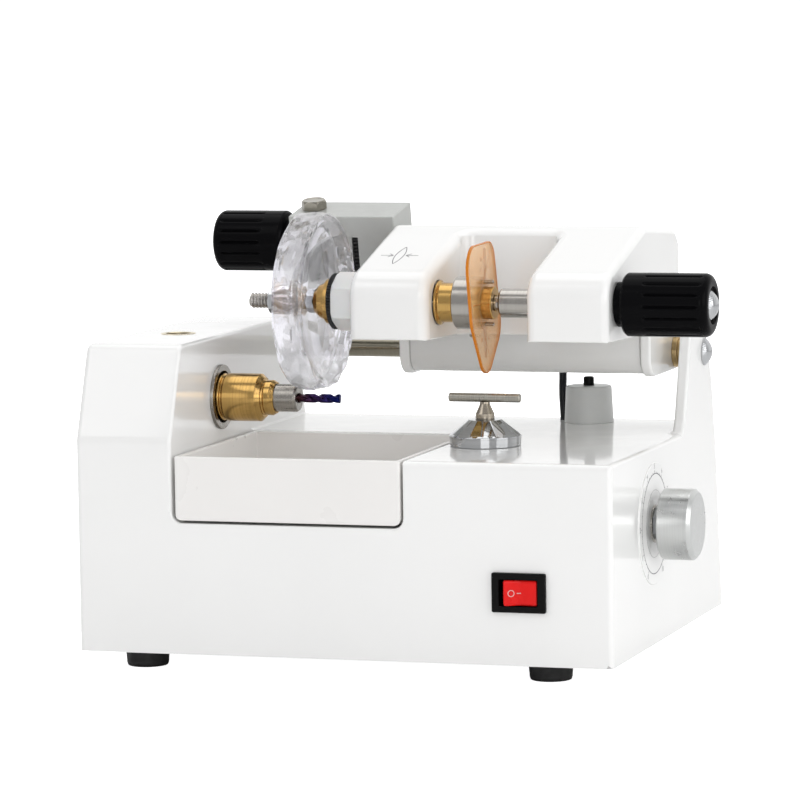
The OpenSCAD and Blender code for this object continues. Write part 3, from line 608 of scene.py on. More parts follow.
def casing_holes(tower_x):
    """Closed tools for the holes in the casing's walls."""
    switch = middle("switch_body")
    yield drill(on_x(CUTTER_AXIS), tower_x - 12, tower_x + 6, 12.25)
    yield drill(on_x(DIAL_AXIS), -9, 4, 3.7, 48)
    yield drill(on_x(PIVOT_AXIS), -8, 4, 3.1, 48)
    yield drill(on_z(SOCKET_AXIS), 115, 135, 6.0, 64)
    yield drill(on_z(REST_AXIS), DECK_Z - 16, DECK_Z + 3, 3.8, 48)
    yield drill(on_z(BOSS_AXIS), DECK_Z - 12, DECK_Z + 3, 4.2, 48)
    yield drill(on_z(Vector(CABLE_ROUTE[0])), DECK_Z - 12, DECK_Z + 3, 1.9, 32)
    yield block(switch.x - 9.5, switch.x + 9.5, -4, 5, switch.z - 6.4, switch.z + 6.4)
    yield moved(block(-13.6, 13.6, -8, 8, -10, 10), rear_wall_frame())


def make_tray():
    lo, hi = box("chip_tray")
    wall = 2.0
    outer = block(lo.x, hi.x, lo.y, hi.y, lo.z, hi.z)

    def weight(edge, spot, angle):
        if spot.z > hi.z - 0.5:
            return 0.0
        along_side = spot.z < lo.z + wall + 0.1 and min(spot.x - lo.x, hi.x - spot.x) < wall + 0.1
        return 1.0 if along_side else 0.28
    outer = round_edges(outer, weight, 3.0, 6)
    inner = block(lo.x + wall, hi.x - wall, lo.y + wall, hi.y - wall, lo.z + wall, hi.z + 20)
    inner = round_edges(inner, weight, 2.4, 5)
    tray = clean(combine(outer, inner))
    tray = round_edges(tray, lambda e, m, a: 1.0 if m.z > hi.z - 0.02 and a > 40 else 0.0, 0.5, 3)
    piece("chip_tray_shell", tray, tray_plastic, "tray", "chip_tray", 35)


def make_feet():
    feet = []
    lo, hi = box("rubber_feet")
    for x in (lo.x + 8.8, hi.x - 8.8):
        for y in (lo.y + 8.8, hi.y - 8.8):
            profile = [(8, 2.1), (8, 8.8, 0.3), (2.2, 8.2, 0.3), (1.4, 8.2, 0.5), (0, 7.8, 0.6),
                       (0, 4.6, 0.5), (0.6, 4.0, 0.2), (4.5, 4.0, 0.2), (4.5, 2.1, 0)]
            feet.append(turned(profile, on_z(Vector((x, y, 0))), 0.3, 64, bored=True))
    piece("rubber_foot_pads", join(*feet), foot_rubber, "base", "rubber_feet")


def make_tower_socket():
    top = box("tower_bush")[1].z
    profile = [(top - 8.2, 5.0), (top - 8.2, 5.9), (top - 0.2, 5.9), (top - 0.2, 6.9), (top - 0.05, 6.85),
               (top, 6.7), (top, 5.2), (top - 0.2, 5.0)]
    piece("tower_socket_ring", turned(profile, on_z(SOCKET_AXIS), 0, 96, True),
                 socket_brass, "base", "tower_bush")


def make_inlet():
    """Appliance inlet with a chamfered flange, a well with cut corners and three pins."""
    place = rear_wall_frame()
    body = combine(block(-15, 15, 0, 1.6, -11.5, 11.5), block(-13.4, 13.4, -18, 0.8, -9.8, 9.8), "UNION")
    body = round_edges(clean(body), lambda e, m, a: 1.0 if m.y > 0.1 else 0.0, 0.8, 3)
    well = [(-11.5, -8), (11.5, -8), (11.5, 4, 0.5), (7.5, 8, 0.5), (-7.5, 8, 0.5), (-11.5, 4, 0.5)]
    tool = loft([[Vector((x, y, z)) for x, z in soften(well, 1.2, 3)] for y in (-13, 4)])
    body = moved(combine(body, tool), place)
    piece("inlet_housing", body, black_plastic, "base", "power_inlet")
    pins = [rounded_block(x - 1, x + 1, -13.5, -2.5, z - 2, z + 2, 0.35, 2)
            for x, z in ((-7, -2), (0, 2), (7, -2))]
    piece("inlet_pins", moved(join(*pins), place), sheet_steel, "base")


# Cutter

def make_cutter():
    place = on_x(CUTTER_AXIS)
    ring_hi = box("spindle_cartridge")[1]
    wall_x = ring_hi.x - 1.3
    flange = [(wall_x - 18, 11), (wall_x - 18, 12.15), (wall_x + 0.02, 12.15), (wall_x + 0.02, 12.8, 0.1),
              (ring_hi.x, 12.7, 0.4), (ring_hi.x, 10.3, 0.2), (wall_x - 2, 9.7, 0.2), (wall_x - 2, 11)]
    piece("cartridge_flange", turned(flange, place, 0.15, 128, True), cutter_steel, "base",
          "spindle_cartridge")
    nut_lo, nut_hi = box("collet_nut")
    x0, x1, r = nut_lo.x, nut_hi.x, (nut_hi.z - nut_lo.z) / 2
    nose = x1 - 4.8
    nut = [(x0, 4.05), (x0, r - 0.6, 0.4), (x0 + 1.6, r - 0.1, 0.5), (x0 + 3.0, r - 0.1, 0.5),
           (x0 + 3.4, r - 0.9, 0.2), (x0 + 4.0, r - 0.9, 0.2), (x0 + 4.6, r, 0.3),
           (nose - 1.7, r, 0.4), (nose, r - 1.7, 0.4), (nose, 7.1, 0.2), (nose + 0.5, 6.6, 0.2),
           (nose + 1.1, 6.95, 0.2), (x1 - 1.5, 6.95, 0.4), (x1, 6.0, 0.2), (x1, 5.55, 0.1),
           (x0 + 13.6, 5.5), (x0 + 13.4, 4.05)]
    piece("collet_nut_body", turned(nut, place, 0.2, 128, True), cutter_brass, "cutter", "collet_nut")
    col_lo, col_hi = box("collet")
    sleeve = [(col_lo.x, 1.85), (col_lo.x, 5.4), (col_hi.x - 0.8, 5.45, 0.3), (col_hi.x, 4.9, 0.3),
              (col_hi.x, 2.1, 0.2), (col_hi.x - 0.4, 1.85, 0.1)]
    collet = ring(sleeve, place)
    for k in range(4):
        slit = moved(block(col_hi.x - 4.5, col_hi.x + 1, -0.1, 0.1, 1.2, 7),
                     place @ turn(45 + 90 * k, "X"))
        collet = combine(collet, slit)
    piece("collet_sleeve", clean(collet), cutter_steel, "cutter", "collet")
    make_bit(place)


def make_bit(place):
    """A two-flute end mill: a plain shank, then helical gullets."""
    lo, hi = box("milling_bit")
    radius = (hi.z - lo.z) / 2
    flute_start = box("collet")[1].x + 0.6
    twist = 2 * pi / 13.0

    def shape(along, r, angle):
        if r < 0.3 * radius:
            return along, r
        depth = min(1.0, max(0.0, (along - flute_start) / 2.0))
        wave = cos(2 * (angle - twist * along))
        gullet = max(0.0, wave) ** 0.7
        return along, r * (1 - 0.42 * depth * gullet)
    stations = [(lo.x, 0.0), (lo.x, radius - 0.1)]
    stations += [(lo.x + 0.3 + (hi.x - lo.x - 0.4) * k / 110, radius) for k in range(111)]
    stations += [(hi.x, radius - 0.12), (hi.x, 0.0)]
    piece("milling_bit_flutes", turned(stations, place, 0, 64, shape=shape), bit_metal, "cutter",
          "milling_bit", 45)


# Pattern rest

def make_rest():
    place = on_z(REST_AXIS)
    lo, hi = box("rest_ring")
    radius = (hi.x - lo.x) / 2
    base = [(lo.z, 3.7), (lo.z, radius - 0.3, 0.2), (lo.z + 3.9, radius, 0.5),
            (lo.z + 4.6, radius - 0.7, 0.3), (hi.z - 0.5, 7.0, 0.3), (hi.z, 6.4, 0.3), (hi.z, 3.7, 0.2)]

    def cut_sides(along, r, angle):
        """Sixteen slight flats on the cone."""
        if along < lo.z + 4.5 or r < 5:
            return along, r
        side = (angle + pi / 16) % (pi / 8) - pi / 16
        return along, r * 0.985 / cos(side)
    piece("rest_collar_ring", turned(base, place, 0.2, 128, True, cut_sides), rest_chrome, "rest_collar",
          "rest_ring", 22)
    stem_lo, stem_hi = box("rest_stem")
    pitch = 1.0

    def thread(along, r, angle):
        if along > hi.z - 0.3 or r < 2:
            return along, r
        return along, r - 0.22 + 0.22 * cos(2 * pi * along / pitch - angle)
    count = 90
    rows = [(stem_lo.z, 0.0), (stem_lo.z, 3.0)]
    rows += [(stem_lo.z + 0.4 + (hi.z - 0.8 - stem_lo.z) * k / count, 3.65) for k in range(count + 1)]
    tip = stem_hi.z
    rows += [(hi.z + 0.2, 3.65), (hi.z + 2.2, 3.65, 0.3), (tip - 1.0, 2.0), (tip, 1.9), (tip, 0.0)]
    piece("rest_stem_post", turned(rows, place, 0, 48, shape=thread), rest_steel, "rest_slide",
          "rest_stem", 40)
    bar_lo, bar_hi = box("rest_bar")
    r = (bar_hi.y - bar_lo.y) / 2
    rod = [(bar_lo.x, 0.0), (bar_lo.x, r - 0.35), (bar_lo.x + 0.35, r), (bar_hi.x - 0.35, r),
           (bar_hi.x, r - 0.35), (bar_hi.x, 0.0)]
    axis = Vector((0, REST_AXIS.y, bar_lo.z + r))
    piece("rest_cross_bar", turned(rod, on_x(axis), 0.1, 64), bar_steel, "rest_slide",
          "rest_bar")


# Switch, dial and stop

def ink_frame(origin, right, up):
    """A matrix from the plane of a print to the casing frame; local Z points out of the surface."""
    right, up = Vector(right).normalized(), Vector(up).normalized()
    out = right.cross(up)
    matrix = Matrix((right, up, out)).transposed().to_4x4()
    matrix.translation = origin
    return matrix


INK = 0.03


def stroke(start, end, width):
    """A printed line."""
    a, b = Vector((*start, 0)), Vector((*end, 0))
    side = (b - a).normalized().cross(Vector((0, 0, 1))) * width / 2
    corners = (a - side, b - side, b + side, a + side)
    return loft([[p + Vector((0, 0, h)) for p in corners] for h in (0, INK)])


def hoop(x, y, radius, width, start=0, end=360, steps=64):
    """A printed arc or circle."""
    whole = end - start >= 360
    angles = [radians(start + (end - start) * k / steps) for k in range(steps + (0 if whole else 1))]
    rings = []
    for a in angles:
        rings.append([Vector((x + q * cos(a), y + q * sin(a), h))
                      for q, h in ((radius - width / 2, 0), (radius + width / 2, 0),
                                   (radius + width / 2, INK), (radius - width / 2, INK))])
    return loft(rings, loop=whole)


def figures(text, size):
    """Printed figures, centred on the origin."""
    curve = bpy.data.curves.new("figures", "FONT")
    curve.body = text
    curve.size = size
    curve.align_x = curve.align_y = "CENTER"
    curve.extrude = INK / 2
    bm = baked(add_object("figures", curve))
    bmesh.ops.remove_doubles(bm, verts=bm.verts, dist=1e-4)
    return bm


def make_switch():
    lo, hi = box("switch_body")
    centre = middle("switch_body")
    frame_front = lo.y
    bezel = block(lo.x, hi.x, frame_front, 0.0, lo.z, hi.z)
    bezel = round_edges(bezel, lambda e, m, a: 1.0 if m.y < -0.2 else 0.0, 0.7, 4)

    def around(half_x, y0, y1, half_z, dx=0.0):
        """A block centred on the switch, or dx to its side."""
        x, z = centre.x + dx, centre.z
        return block(x - half_x, x + half_x, y0, y1, z - half_z, z + half_z)
    bezel = combine(bezel, around(9.3, -0.5, 14, 6.2), "UNION")
    well = round_edges(around(7.6, -6, 9, 5.1), lambda e, m, a: 1.0 if 0 < m.y < 2.5 else 0.0, 0.5, 2)
    bezel = join(combine(bezel, well), *(around(0.4, 13.9, 21, 2.4, dx) for dx in (-6, 0, 6)))
    piece("switch_bezel", bezel, black_plastic, "base", "switch_body")

    pivot = Matrix.Translation((centre.x, 3.6, centre.z)) @ turn(9, "Z")
    half, crown, valley = 6.15, 6.1, 1.25
    outline = [(-6.55, -4.2)]
    outline += [(-half + 2 * half * k / 20, -crown + valley * (1 - abs(k / 10 - 1))) for k in range(21)]
    outline += [(6.55, -4.2), (4.5, 1.5), (-4.5, 1.5)]
    rows = []
    for z in (-4.75, -4.4, -3.6, 3.6, 4.4, 4.75):
        edge = 0.35 if abs(z) > 4.6 else (0.08 if abs(z) > 4.0 else 0.0)
        bow = edge + 0.35 * (z / 4.75) ** 2
        rows.append([Vector((x * (1 - edge / 6.5), y + (bow if y < -4.5 else 0), z)) for x, y in outline])
    piece("switch_rocker_cap", moved(loft(rows), pivot), rocker_red, "rocker", "switch_rocker",
          25)
    lean = atan2(valley, half)
    marks = []
    for x, mark in ((-3.4, hoop(0, 0, 1.15, 0.3, steps=40)), (-0.6, stroke((-0.7, 0), (0.9, 0), 0.34))):
        face = ink_frame(Vector((x, valley - crown + valley * x / half - 0.02, 0)),
                         (cos(lean), sin(lean), 0), (0, 0, 1))
        marks.append(moved(mark, pivot @ face))
    piece("switch_marks", join(*marks), ink_pale, "rocker")


def make_dial():
    lo, hi = box("dial_plate")
    place = on_x(DIAL_AXIS)
    r = (hi.z - lo.z) / 2
    plate = [(0.0, 4.0), (0.0, r), (hi.x - 0.12, r, 0.08), (hi.x, r - 0.15, 0.08), (hi.x, 4.0)]
    piece("dial_disc", turned(plate, place, 0, 128, True), dial_film, "base", "dial_plate")
    face = ink_frame(Vector((hi.x - 0.005, DIAL_AXIS.y, DIAL_AXIS.z)), (0, 1, 0), (0, 0, 1))
    marks = [hoop(0, 0, 19.3, 0.32, steps=128), hoop(0, 0, 13.0, 0.12, steps=96)]
    steps, sweep = 40, radians(300)
    for k in range(steps + 1):
        ray = Vector((0, 1)) @ Matrix.Rotation(sweep * (k / steps - 0.5), 2)
        marks.append(stroke(19.3 * ray, (20.0 if k % 4 else 20.6) * ray, 0.26))
        if k % 4 == 0:
            marks.append(moved(figures(str(k // 4), 2.9), Matrix.Translation((22.1 * ray).to_3d())))
    piece("dial_scale", moved(join(*marks), face), ink_grey, "base")

    k_lo, k_hi = box("speed_knob")
    kr = (k_hi.z - k_lo.z) / 2
    knob = [(k_lo.x, 3.0), (k_lo.x, kr - 0.5, 0.3), (k_lo.x + 0.4, kr, 0.3), (k_hi.x - 1.5, kr, 0.15),
            (k_hi.x - 0.1, kr - 1.4, 0.15), (k_hi.x, kr - 2.0, 0.2), (k_hi.x, 0.0)]
    front = [(k_lo.x + 7.8, 0.0), (k_lo.x + 7.8, 3.0, 0.1)]
    piece("speed_knob_body", turned(front + knob, place, 0, 128), dial_aluminium, "speed_control",
          "speed_knob", 25)
    nut = [(0.4, 3.7), (0.4, 7.3), (1.0, 7.3, 0.3), (1.0, 6.2), (2.6, 6.2, 0.3), (2.6, 3.7)]
    piece("dial_nut", turned(nut, place, 0.15, 96, True, hexagonal(5.45, 1.05, 3.0)), feed_steel, "base")


def make_stop():
    place = on_z(BOSS_AXIS)
    hi = box("stop_boss")[1]
    boss = [(DECK_Z - 5.5, 2.3), (DECK_Z - 5.5, 4.05), (DECK_Z, 4.05), (DECK_Z, 9.9, 0.2),
            (DECK_Z + 0.8, 9.9, 0.2), (hi.z, 9.2, 0.9), (hi.z, 2.35, 0.2)]
    piece("stop_boss_body", ring(boss, place), grey_plastic, "base", "stop_boss")
    p_lo, p_hi = box("stop_plunger")
    pin = [(p_lo.z, 0.0), (p_lo.z, 2.1), (p_lo.z + 2.4, 2.1, 0.1), (p_lo.z + 2.4, 3.15, 0.2),
           (p_lo.z + 4.7, 3.15, 0.2), (p_lo.z + 4.7, 2.12, 0.1), (p_hi.z, 2.12, 0.7), (p_hi.z, 0.0)]
    piece("stop_plunger_pin", turned(pin, place, 0.1, 64), black_plastic, "plunger", "stop_plunger")


# Head

HEAD_LO, HEAD_HI = box("head_casting")
UNDER_FRONT = 126.0
UNDER_SLOPE = 0.032
NOSE = (53.0, 142.0, 11.0)
RIDGE = (99.5, 166.6)
HEAD_SCREWS = (Vector((-79, 90, 0)), Vector((-48, 90, 0)))


def under(y):
    return UNDER_FRONT - (y - 42.0) * UNDER_SLOPE


def make_head():
    x0, x1 = HEAD_LO.x, HEAD_HI.x
    y0, y1 = HEAD_LO.y, HEAD_HI.y
    side = [(y0, UNDER_FRONT)] + arc(NOSE[0], NOSE[1], NOSE[2], 180, 105, 10)
    side += soften([side[-1], (*RIDGE, 8), (147, 163.1, 7), (y1, 157, 6), (y1, under(y1))], 0, 6,
                   closed=False)[1:]
    body = prism(side, x0, x1)
    left, right = -83.8, -44.7
    rows = []
    for z, back in ((100, 84.6), (126, 86), (163, 93), (190, 97)):
        plan = [(left, y0 - 8), (right, y0 - 8), (right, back, 5), (left, back, 5)]
        rows.append([Vector((p[0], p[1], z)) for p in soften(plan, 0, 8)])
    body = clean(combine(body, loft(rows)))

    def weight(edge, spot, angle):
        if angle < 24:
            return 0.0
        if spot.z < under(spot.y) + 0.6:
            return 0.18
        return 1.0 if left - 0.5 < spot.x < right + 0.5 else 0.7
    body = mark_edges(body, weight)
    web = box("head_shell")[0].y + 1.5
    cavity = [(web, 100), (y1 - 3, 100), (y1 - 3, 127), (148, 156), (144, 159.6), (102, 162.5), (96, 159.5),
              (96, 127.5), (web, 127.5)]
    body = combine(body, prism(cavity, x0 + 3, x1 - 3))
    body = round_marked(clean(body), 4.2, 7)
    body = combine(body, block(-107, -92, LENS_AXIS.y, 105, LENS_AXIS.z - 10.7, LENS_AXIS.z + 10.7))
    left_bore = [(x0 - 2, 0), (x0 - 2, 11), (-84.9, 11), (-84.9, 8.75), (-80, 8.75), (-80, 0)]
    right_bore = [(right - 1, 0), (right - 1, 8), (x1 + 4, 8), (x1 + 4, 0)]
    for bore in (left_bore, right_bore):
        body = combine(body, turned(bore, on_x(LENS_AXIS), 0, 96))
    for spot in HEAD_SCREWS:
        body = combine(body, drill(on_z(spot), 110, 134, 1.3, 24))
    piece("head_cover", clean(body), white_paint, "head", "head_casting", 35)


def end_outline(front, rear, bottom, radius, steps=10):
    return soften([(front, under(front)), (front, bottom, radius), (rear, bottom, radius),
                   (rear, under(rear))], 0, steps)


def make_head_underside():
    lo, hi = box("head_shell")
    p_lo, p_hi = box("end_plates")
    t = 4.2
    outer = prism(end_outline(lo.y, hi.y, lo.z, 12), p_lo.x + t + 0.25, p_hi.x - t - 0.25)
    inner = prism(soften([(lo.y + 1.2, 140), (lo.y + 1.2, lo.z + 1.2, 10.8), (hi.y - 1.2, lo.z + 1.2, 10.8),
                          (hi.y - 1.2, 140)], 0, 10), p_lo.x + t - 2, p_hi.x - t + 2)
    shell = combine(outer, inner)
    shell = combine(shell, drill(on_z(Vector((-60.4, 150.4, 0))), 100, 110, 1.6, 24))
    piece("head_belly", clean(shell), shell_paint, "head", "head_shell")
    plates = []
    for x in (p_lo.x, p_hi.x - t):
        plate = prism(end_outline(p_lo.y, p_hi.y, p_lo.z, 12), x, x + t)
        plate = round_edges(plate, lambda e, m, a: float(a > 60 and m.z < under(m.y) - 0.3), 1.0, 4)
        bore = drill(on_x(PIVOT_AXIS), x - 2, x + t + 2, 5.4, 48)
        plates.append(combine(plate, bore))
    piece("end_plate_pair", join(*plates), white_paint, "head", "end_plates", 35)


def make_pictogram():
    """A generic sign on the slope: a lens outline with an arrow on each side."""
    start = Vector((0, NOSE[0] + NOSE[2] * cos(radians(105)),
                    NOSE[1] + NOSE[2] * sin(radians(105))))
    slope = atan2(RIDGE[1] - start.z, RIDGE[0] - start.y)
    centre = start + Vector((-101.8, 16 * cos(slope), 16 * sin(slope)))
    plane = ink_frame(centre + Vector((0, 0, 0.005)), (1, 0, 0), (0, cos(slope), sin(slope)))
    line, half_height, half_width = 0.3, 9.5, 1.7
    radius = (half_height ** 2 + half_width ** 2) / (2 * half_width)
    sweep = degrees(asin(half_height / radius))
    marks = [hoop(half_width - radius, 0, radius, line, -sweep, sweep, 40),
             hoop(radius - half_width, 0, radius, line, 180 - sweep, 180 + sweep, 40)]
    for side in (-1, 1):
        tip = 2.6 * side
        marks.append(stroke((tip, 0), (tip + 5 * side, 0), line))
        for up in (-1, 1):
            marks.append(stroke((tip, 0), (tip + 1.8 * side, 1.8 * up), line))
    piece("pictogram_print", moved(join(*marks), plane), ink_grey, "head")


# Lens line

def threaded(x0, x1, radius, core_end, pitch=1.4):
    """A threaded stud from its chamfered tip at x0 to x1, and plain from core_end on."""
    def shape(along, r, angle):
        if r < 0.6 * radius or along > x1:
            return along, r
        phase = (along / pitch - angle / (2 * pi)) % 1.0
        ridge = 1 - abs(2 * phase - 1)
        return along, r - 0.5 * (1 - min(1.0, ridge * 1.25))
    count = int((x1 - x0) / pitch * 10)
    rows = [(x0, 0.0), (x0, radius - 0.8), (x0 + 0.5, radius - 0.2)]
    rows += [(x0 + 0.5 + (x1 - x0 - 0.5) * k / count, radius) for k in range(1, count + 1)]
    rows += [(x1 + 0.1, radius - 0.06), (core_end, radius - 0.06), (core_end, 0.0)]
    return turned(rows, on_x(LENS_AXIS), 0, 60, shape=shape)


def make_lens_spindles():
    lo, hi = box("lens_spindle")
    place = on_x(LENS_AXIS)
    ring_x = box("drive_ring")[1].x
    stud = threaded(lo.x, box("clamp_nuts")[0].x + 1.0, 3.0, ring_x + 1.9)
    collar_x = box("template_collar")[0].x
    shaft = turned([(ring_x + 1.9, 0), (ring_x + 1.9, 4.0, 0.2), (collar_x, 4.0, 0.2), (collar_x, 2.95),
                    (hi.x, 2.95, 0.5), (hi.x, 0.0)], place, 0.1, 64)
    piece("lens_shaft", join(stud, shaft), lens_steel, "lens_train", "lens_spindle", 40)
    k_lo, k_hi = box("knob_spindle")
    r = (k_hi.z - k_lo.z) / 2
    tail = [(k_lo.x, 3.05), (k_lo.x, r - 0.7, 0.2), (k_lo.x + 0.7, r, 0.3), (k_hi.x - 0.5, r, 0.3),
            (k_hi.x, r - 0.5), (k_hi.x, 2.55), (-6, 2.55), (-6, 0.6), (-50, 0.6), (-50, 3.05)]
    piece("knob_shaft", ring(tail, place), lens_steel, "lens_train", "knob_spindle")
    s_lo, s_hi = box("spindle_sleeve")
    sleeve = [(s_lo.x, 4.05), (s_lo.x, 8.6, 0.2), (s_lo.x + 0.7, 8.65, 0.3), (s_lo.x + 1.5, 7.7, 0.5),
              (s_hi.x - 0.4, 7.6, 0.2), (s_hi.x, 7.3, 0.2), (s_hi.x, 4.05)]
    piece("brass_sleeve", ring(sleeve, place), lens_brass, "lens_train",
          "spindle_sleeve")


def template_outline(steps=180):
    """The hull of five circles in the plane across the spindle."""
    circles = [(-12.5, 14, 9), (6, 15, 8.4), (11.5, -9, 9.8), (2.5, -18.4, 9.1), (-6, -3, 11.8)]
    out = []
    for k in range(steps):
        a = 2 * pi * k / steps
        c = max(circles, key=lambda q: q[0] * cos(a) + q[1] * sin(a) + q[2])
        out.append((LENS_AXIS.y + c[0] + c[2] * cos(a), LENS_AXIS.z + c[1] + c[2] * sin(a)))
    return out


def make_template():
    place = on_x(LENS_AXIS)
    c_lo, c_hi = box("template_collar")
    collar_end = box("template")[0].x - 0.02
    r = 10.2
    collar = [(c_lo.x, 3.05), (c_lo.x, r - 0.6, 0.2), (c_lo.x + 0.5, r, 0.3), (collar_end - 0.4, r, 0.3),
              (collar_end, r - 0.4, 0.2), (collar_end, 3.05)]
    parts = [ring(collar, place, 128)]
    for side in (-1, 1):
        axis = Vector((0, LENS_AXIS.y, LENS_AXIS.z + 8.2 * side))
        pin = [(collar_end - 0.5, 0.0), (collar_end - 0.5, 0.75), (c_hi.x - 0.2, 0.75, 0.5),
               (c_hi.x, 0.35), (c_hi.x, 0.0)]
        parts.append(turned(pin, on_x(axis), 0.1, 24))
    piece("template_drive_collar", join(*parts), lens_steel, "lens_train", "template_collar")

    t_lo, t_hi = box("template")
    plate = prism(template_outline(), t_lo.x, t_hi.x)
    plate = round_edges(plate, lambda e, m, a: 1.0 if a > 60 else 0.0, 0.2, 2)
    for dz, bore in ((0, 3.1), (8.2, 0.85), (-8.2, 0.85)):
        axis = Vector((0, LENS_AXIS.y, LENS_AXIS.z + dz))
        tool = drill(on_x(axis), t_lo.x - 2, t_hi.x + 2, bore, 32)
        plate = combine(plate, tool)
    piece("template_plate", plate, template_acrylic, "lens_train", "template", 35)

    outline = [Vector((0, y, z)) for y, z in template_outline()]
    centre = Vector((0, LENS_AXIS.y, LENS_AXIS.z))
    rim = []
    for point in outline:
        inward = (centre - point).normalized()
        rim.append([point + inward * depth + Vector((x, 0, 0)) for depth, x in
                    ((-0.02, t_lo.x + 0.15), (-0.02, t_hi.x - 0.15), (0.25, t_hi.x + 0.02),
                     (0.55, t_hi.x + 0.01), (0.55, t_lo.x - 0.01), (0.25, t_lo.x - 0.02))])
    piece("template_rim", loft(rim, loop=True), rim_acrylic, "lens_train")

    face = ink_frame(Vector((t_hi.x - 0.005, LENS_AXIS.y, LENS_AXIS.z)), (0, 1, 0), (0, 0, 1))
    marks = []
    for y in [9.4 + 0.95 * k for k in range(13)] + [-9.4 - 0.95 * k for k in range(13)]:
        marks += [hoop(-0.8, y, 0.36, 0.18, steps=12), hoop(0.8, y, 0.36, 0.18, steps=12)]
    marks += [stroke((-9, 2), (8.5, 20.5), 0.22), stroke((-9, -2), (4.5, -20), 0.22),
              stroke((-16, 0), (-7.5, 0), 0.22), stroke((7.5, 0), (16, 0), 0.22)]
    for x, y, value in ((-5, 17, 10), (-5, 13, 8), (4.5, 13.5, 6), (-5, -14, 10), (4.5, -14, 6)):
        marks.append(moved(figures(str(value), 2.2), Matrix.Translation((x, y, 0))))
    piece("template_print", moved(join(*marks), face), ink_orange, "lens_train")

    n_lo, n_hi = box("template_nut")
    nut = [(n_lo.x, 3.05), (n_lo.x, 6.3), (n_hi.x - 0.3, 6.4, 0.2), (n_hi.x, 6.1, 0.1), (n_hi.x, 3.6, 0.2),
           (n_hi.x - 0.5, 3.05)]
    piece("brass_lock_nut", ring(nut, place), lens_brass, "lens_train", "template_nut")


def make_clamp():
    """Hub, toothed ring, cups and nuts that hold the lens."""
    place = on_x(LENS_AXIS)
    h_lo, h_hi = box("hex_hub")
    flat = 11.5 * cos(pi / 6)
    hub = [(h_lo.x, 3.15), (h_lo.x, 10.6, 0.4), (h_lo.x + 0.9, 11.5, 0.5), (h_hi.x - 0.6, 11.5, 0.4),
           (h_hi.x, 10.9, 0.2), (h_hi.x, 4.05), (h_lo.x + 2.2, 4.05), (h_lo.x + 2.2, 3.15)]
    piece("nylon_hex_hub", turned(hub, place, 0.1, 96, True, hexagonal(flat, to_x=h_hi.x + 1)), white_nylon,
          "lens_train", "hex_hub")
    r_lo, r_hi = box("drive_ring")
    teeth = 56

    def toothed(along, r, angle):
        wave = cos(teeth * angle)
        return along, r + (0.3 * wave if r > 9.4 else 0)
    band = [(r_lo.x, 3.1), (r_lo.x, 9.6, 0.2), (r_lo.x + 0.5, 10.6), (r_hi.x - 0.2, 10.6),
            (r_hi.x, 10.4), (r_hi.x, 3.1)]
    piece("toothed_drive_ring", turned(band, place, 0.05, teeth * 6, True, toothed), belt_rubber,
          "lens_train", "drive_ring")
    c_lo, c_hi = box("lens_cups")
    end = c_hi.x
    right_cup = [(end - 6.8, 3.1), (end - 6.8, 4.8, 0.3), (end - 4.8, 6.6, 0.5), (end - 2.3, 7.6, 0.3),
                 (end - 2.2, 8.5, 0.2), (end - 1.8, 8.8, 0.2), (end - 0.3, 8.8, 0.2), (end, 8.5),
                 (end, 3.1)]
    end = box("lens_blank")[0].x - 0.05
    left_cup = [(c_lo.x, 3.1), (c_lo.x, 5.4, 0.3), (c_lo.x + 1.8, 5.8, 0.3), (c_lo.x + 2.2, 4.6, 0.3),
                (end - 1.6, 4.6, 0.3), (end - 1.2, 6.1, 0.2), (end, 6.2, 0.2), (end, 3.1)]
    piece("lens_cup_pair", join(ring(right_cup, place), ring(left_cup, place)),
          lens_brass, "lens_train", "lens_cups")
    n_lo, n_hi = box("clamp_nuts")
    nuts = []
    for x0, x1, corner in ((n_lo.x, c_lo.x - 0.02, 5.6), (n_hi.x - 3.58, n_hi.x, 4.6)):
        flats = corner * cos(pi / 6)
        profile = [(x0, 3.1), (x0, flats - 0.2, 0.1)]
        profile += [(x0 + 0.75 * k / 5, flats - 0.1 + (corner - flats + 0.1) * k / 5) for k in range(1, 6)]
        profile += [(x1 - 0.75 * k / 5, corner - (corner - flats + 0.1) * k / 5) for k in range(0, 5)]
        profile += [(x1, flats - 0.2, 0.1), (x1, 3.1)]
        nuts.append(turned(profile, place, 0, 96, True, hexagonal(flats)))
    piece("clamp_nut_pair", join(*nuts), lens_chrome, "lens_train", "clamp_nuts", 25)


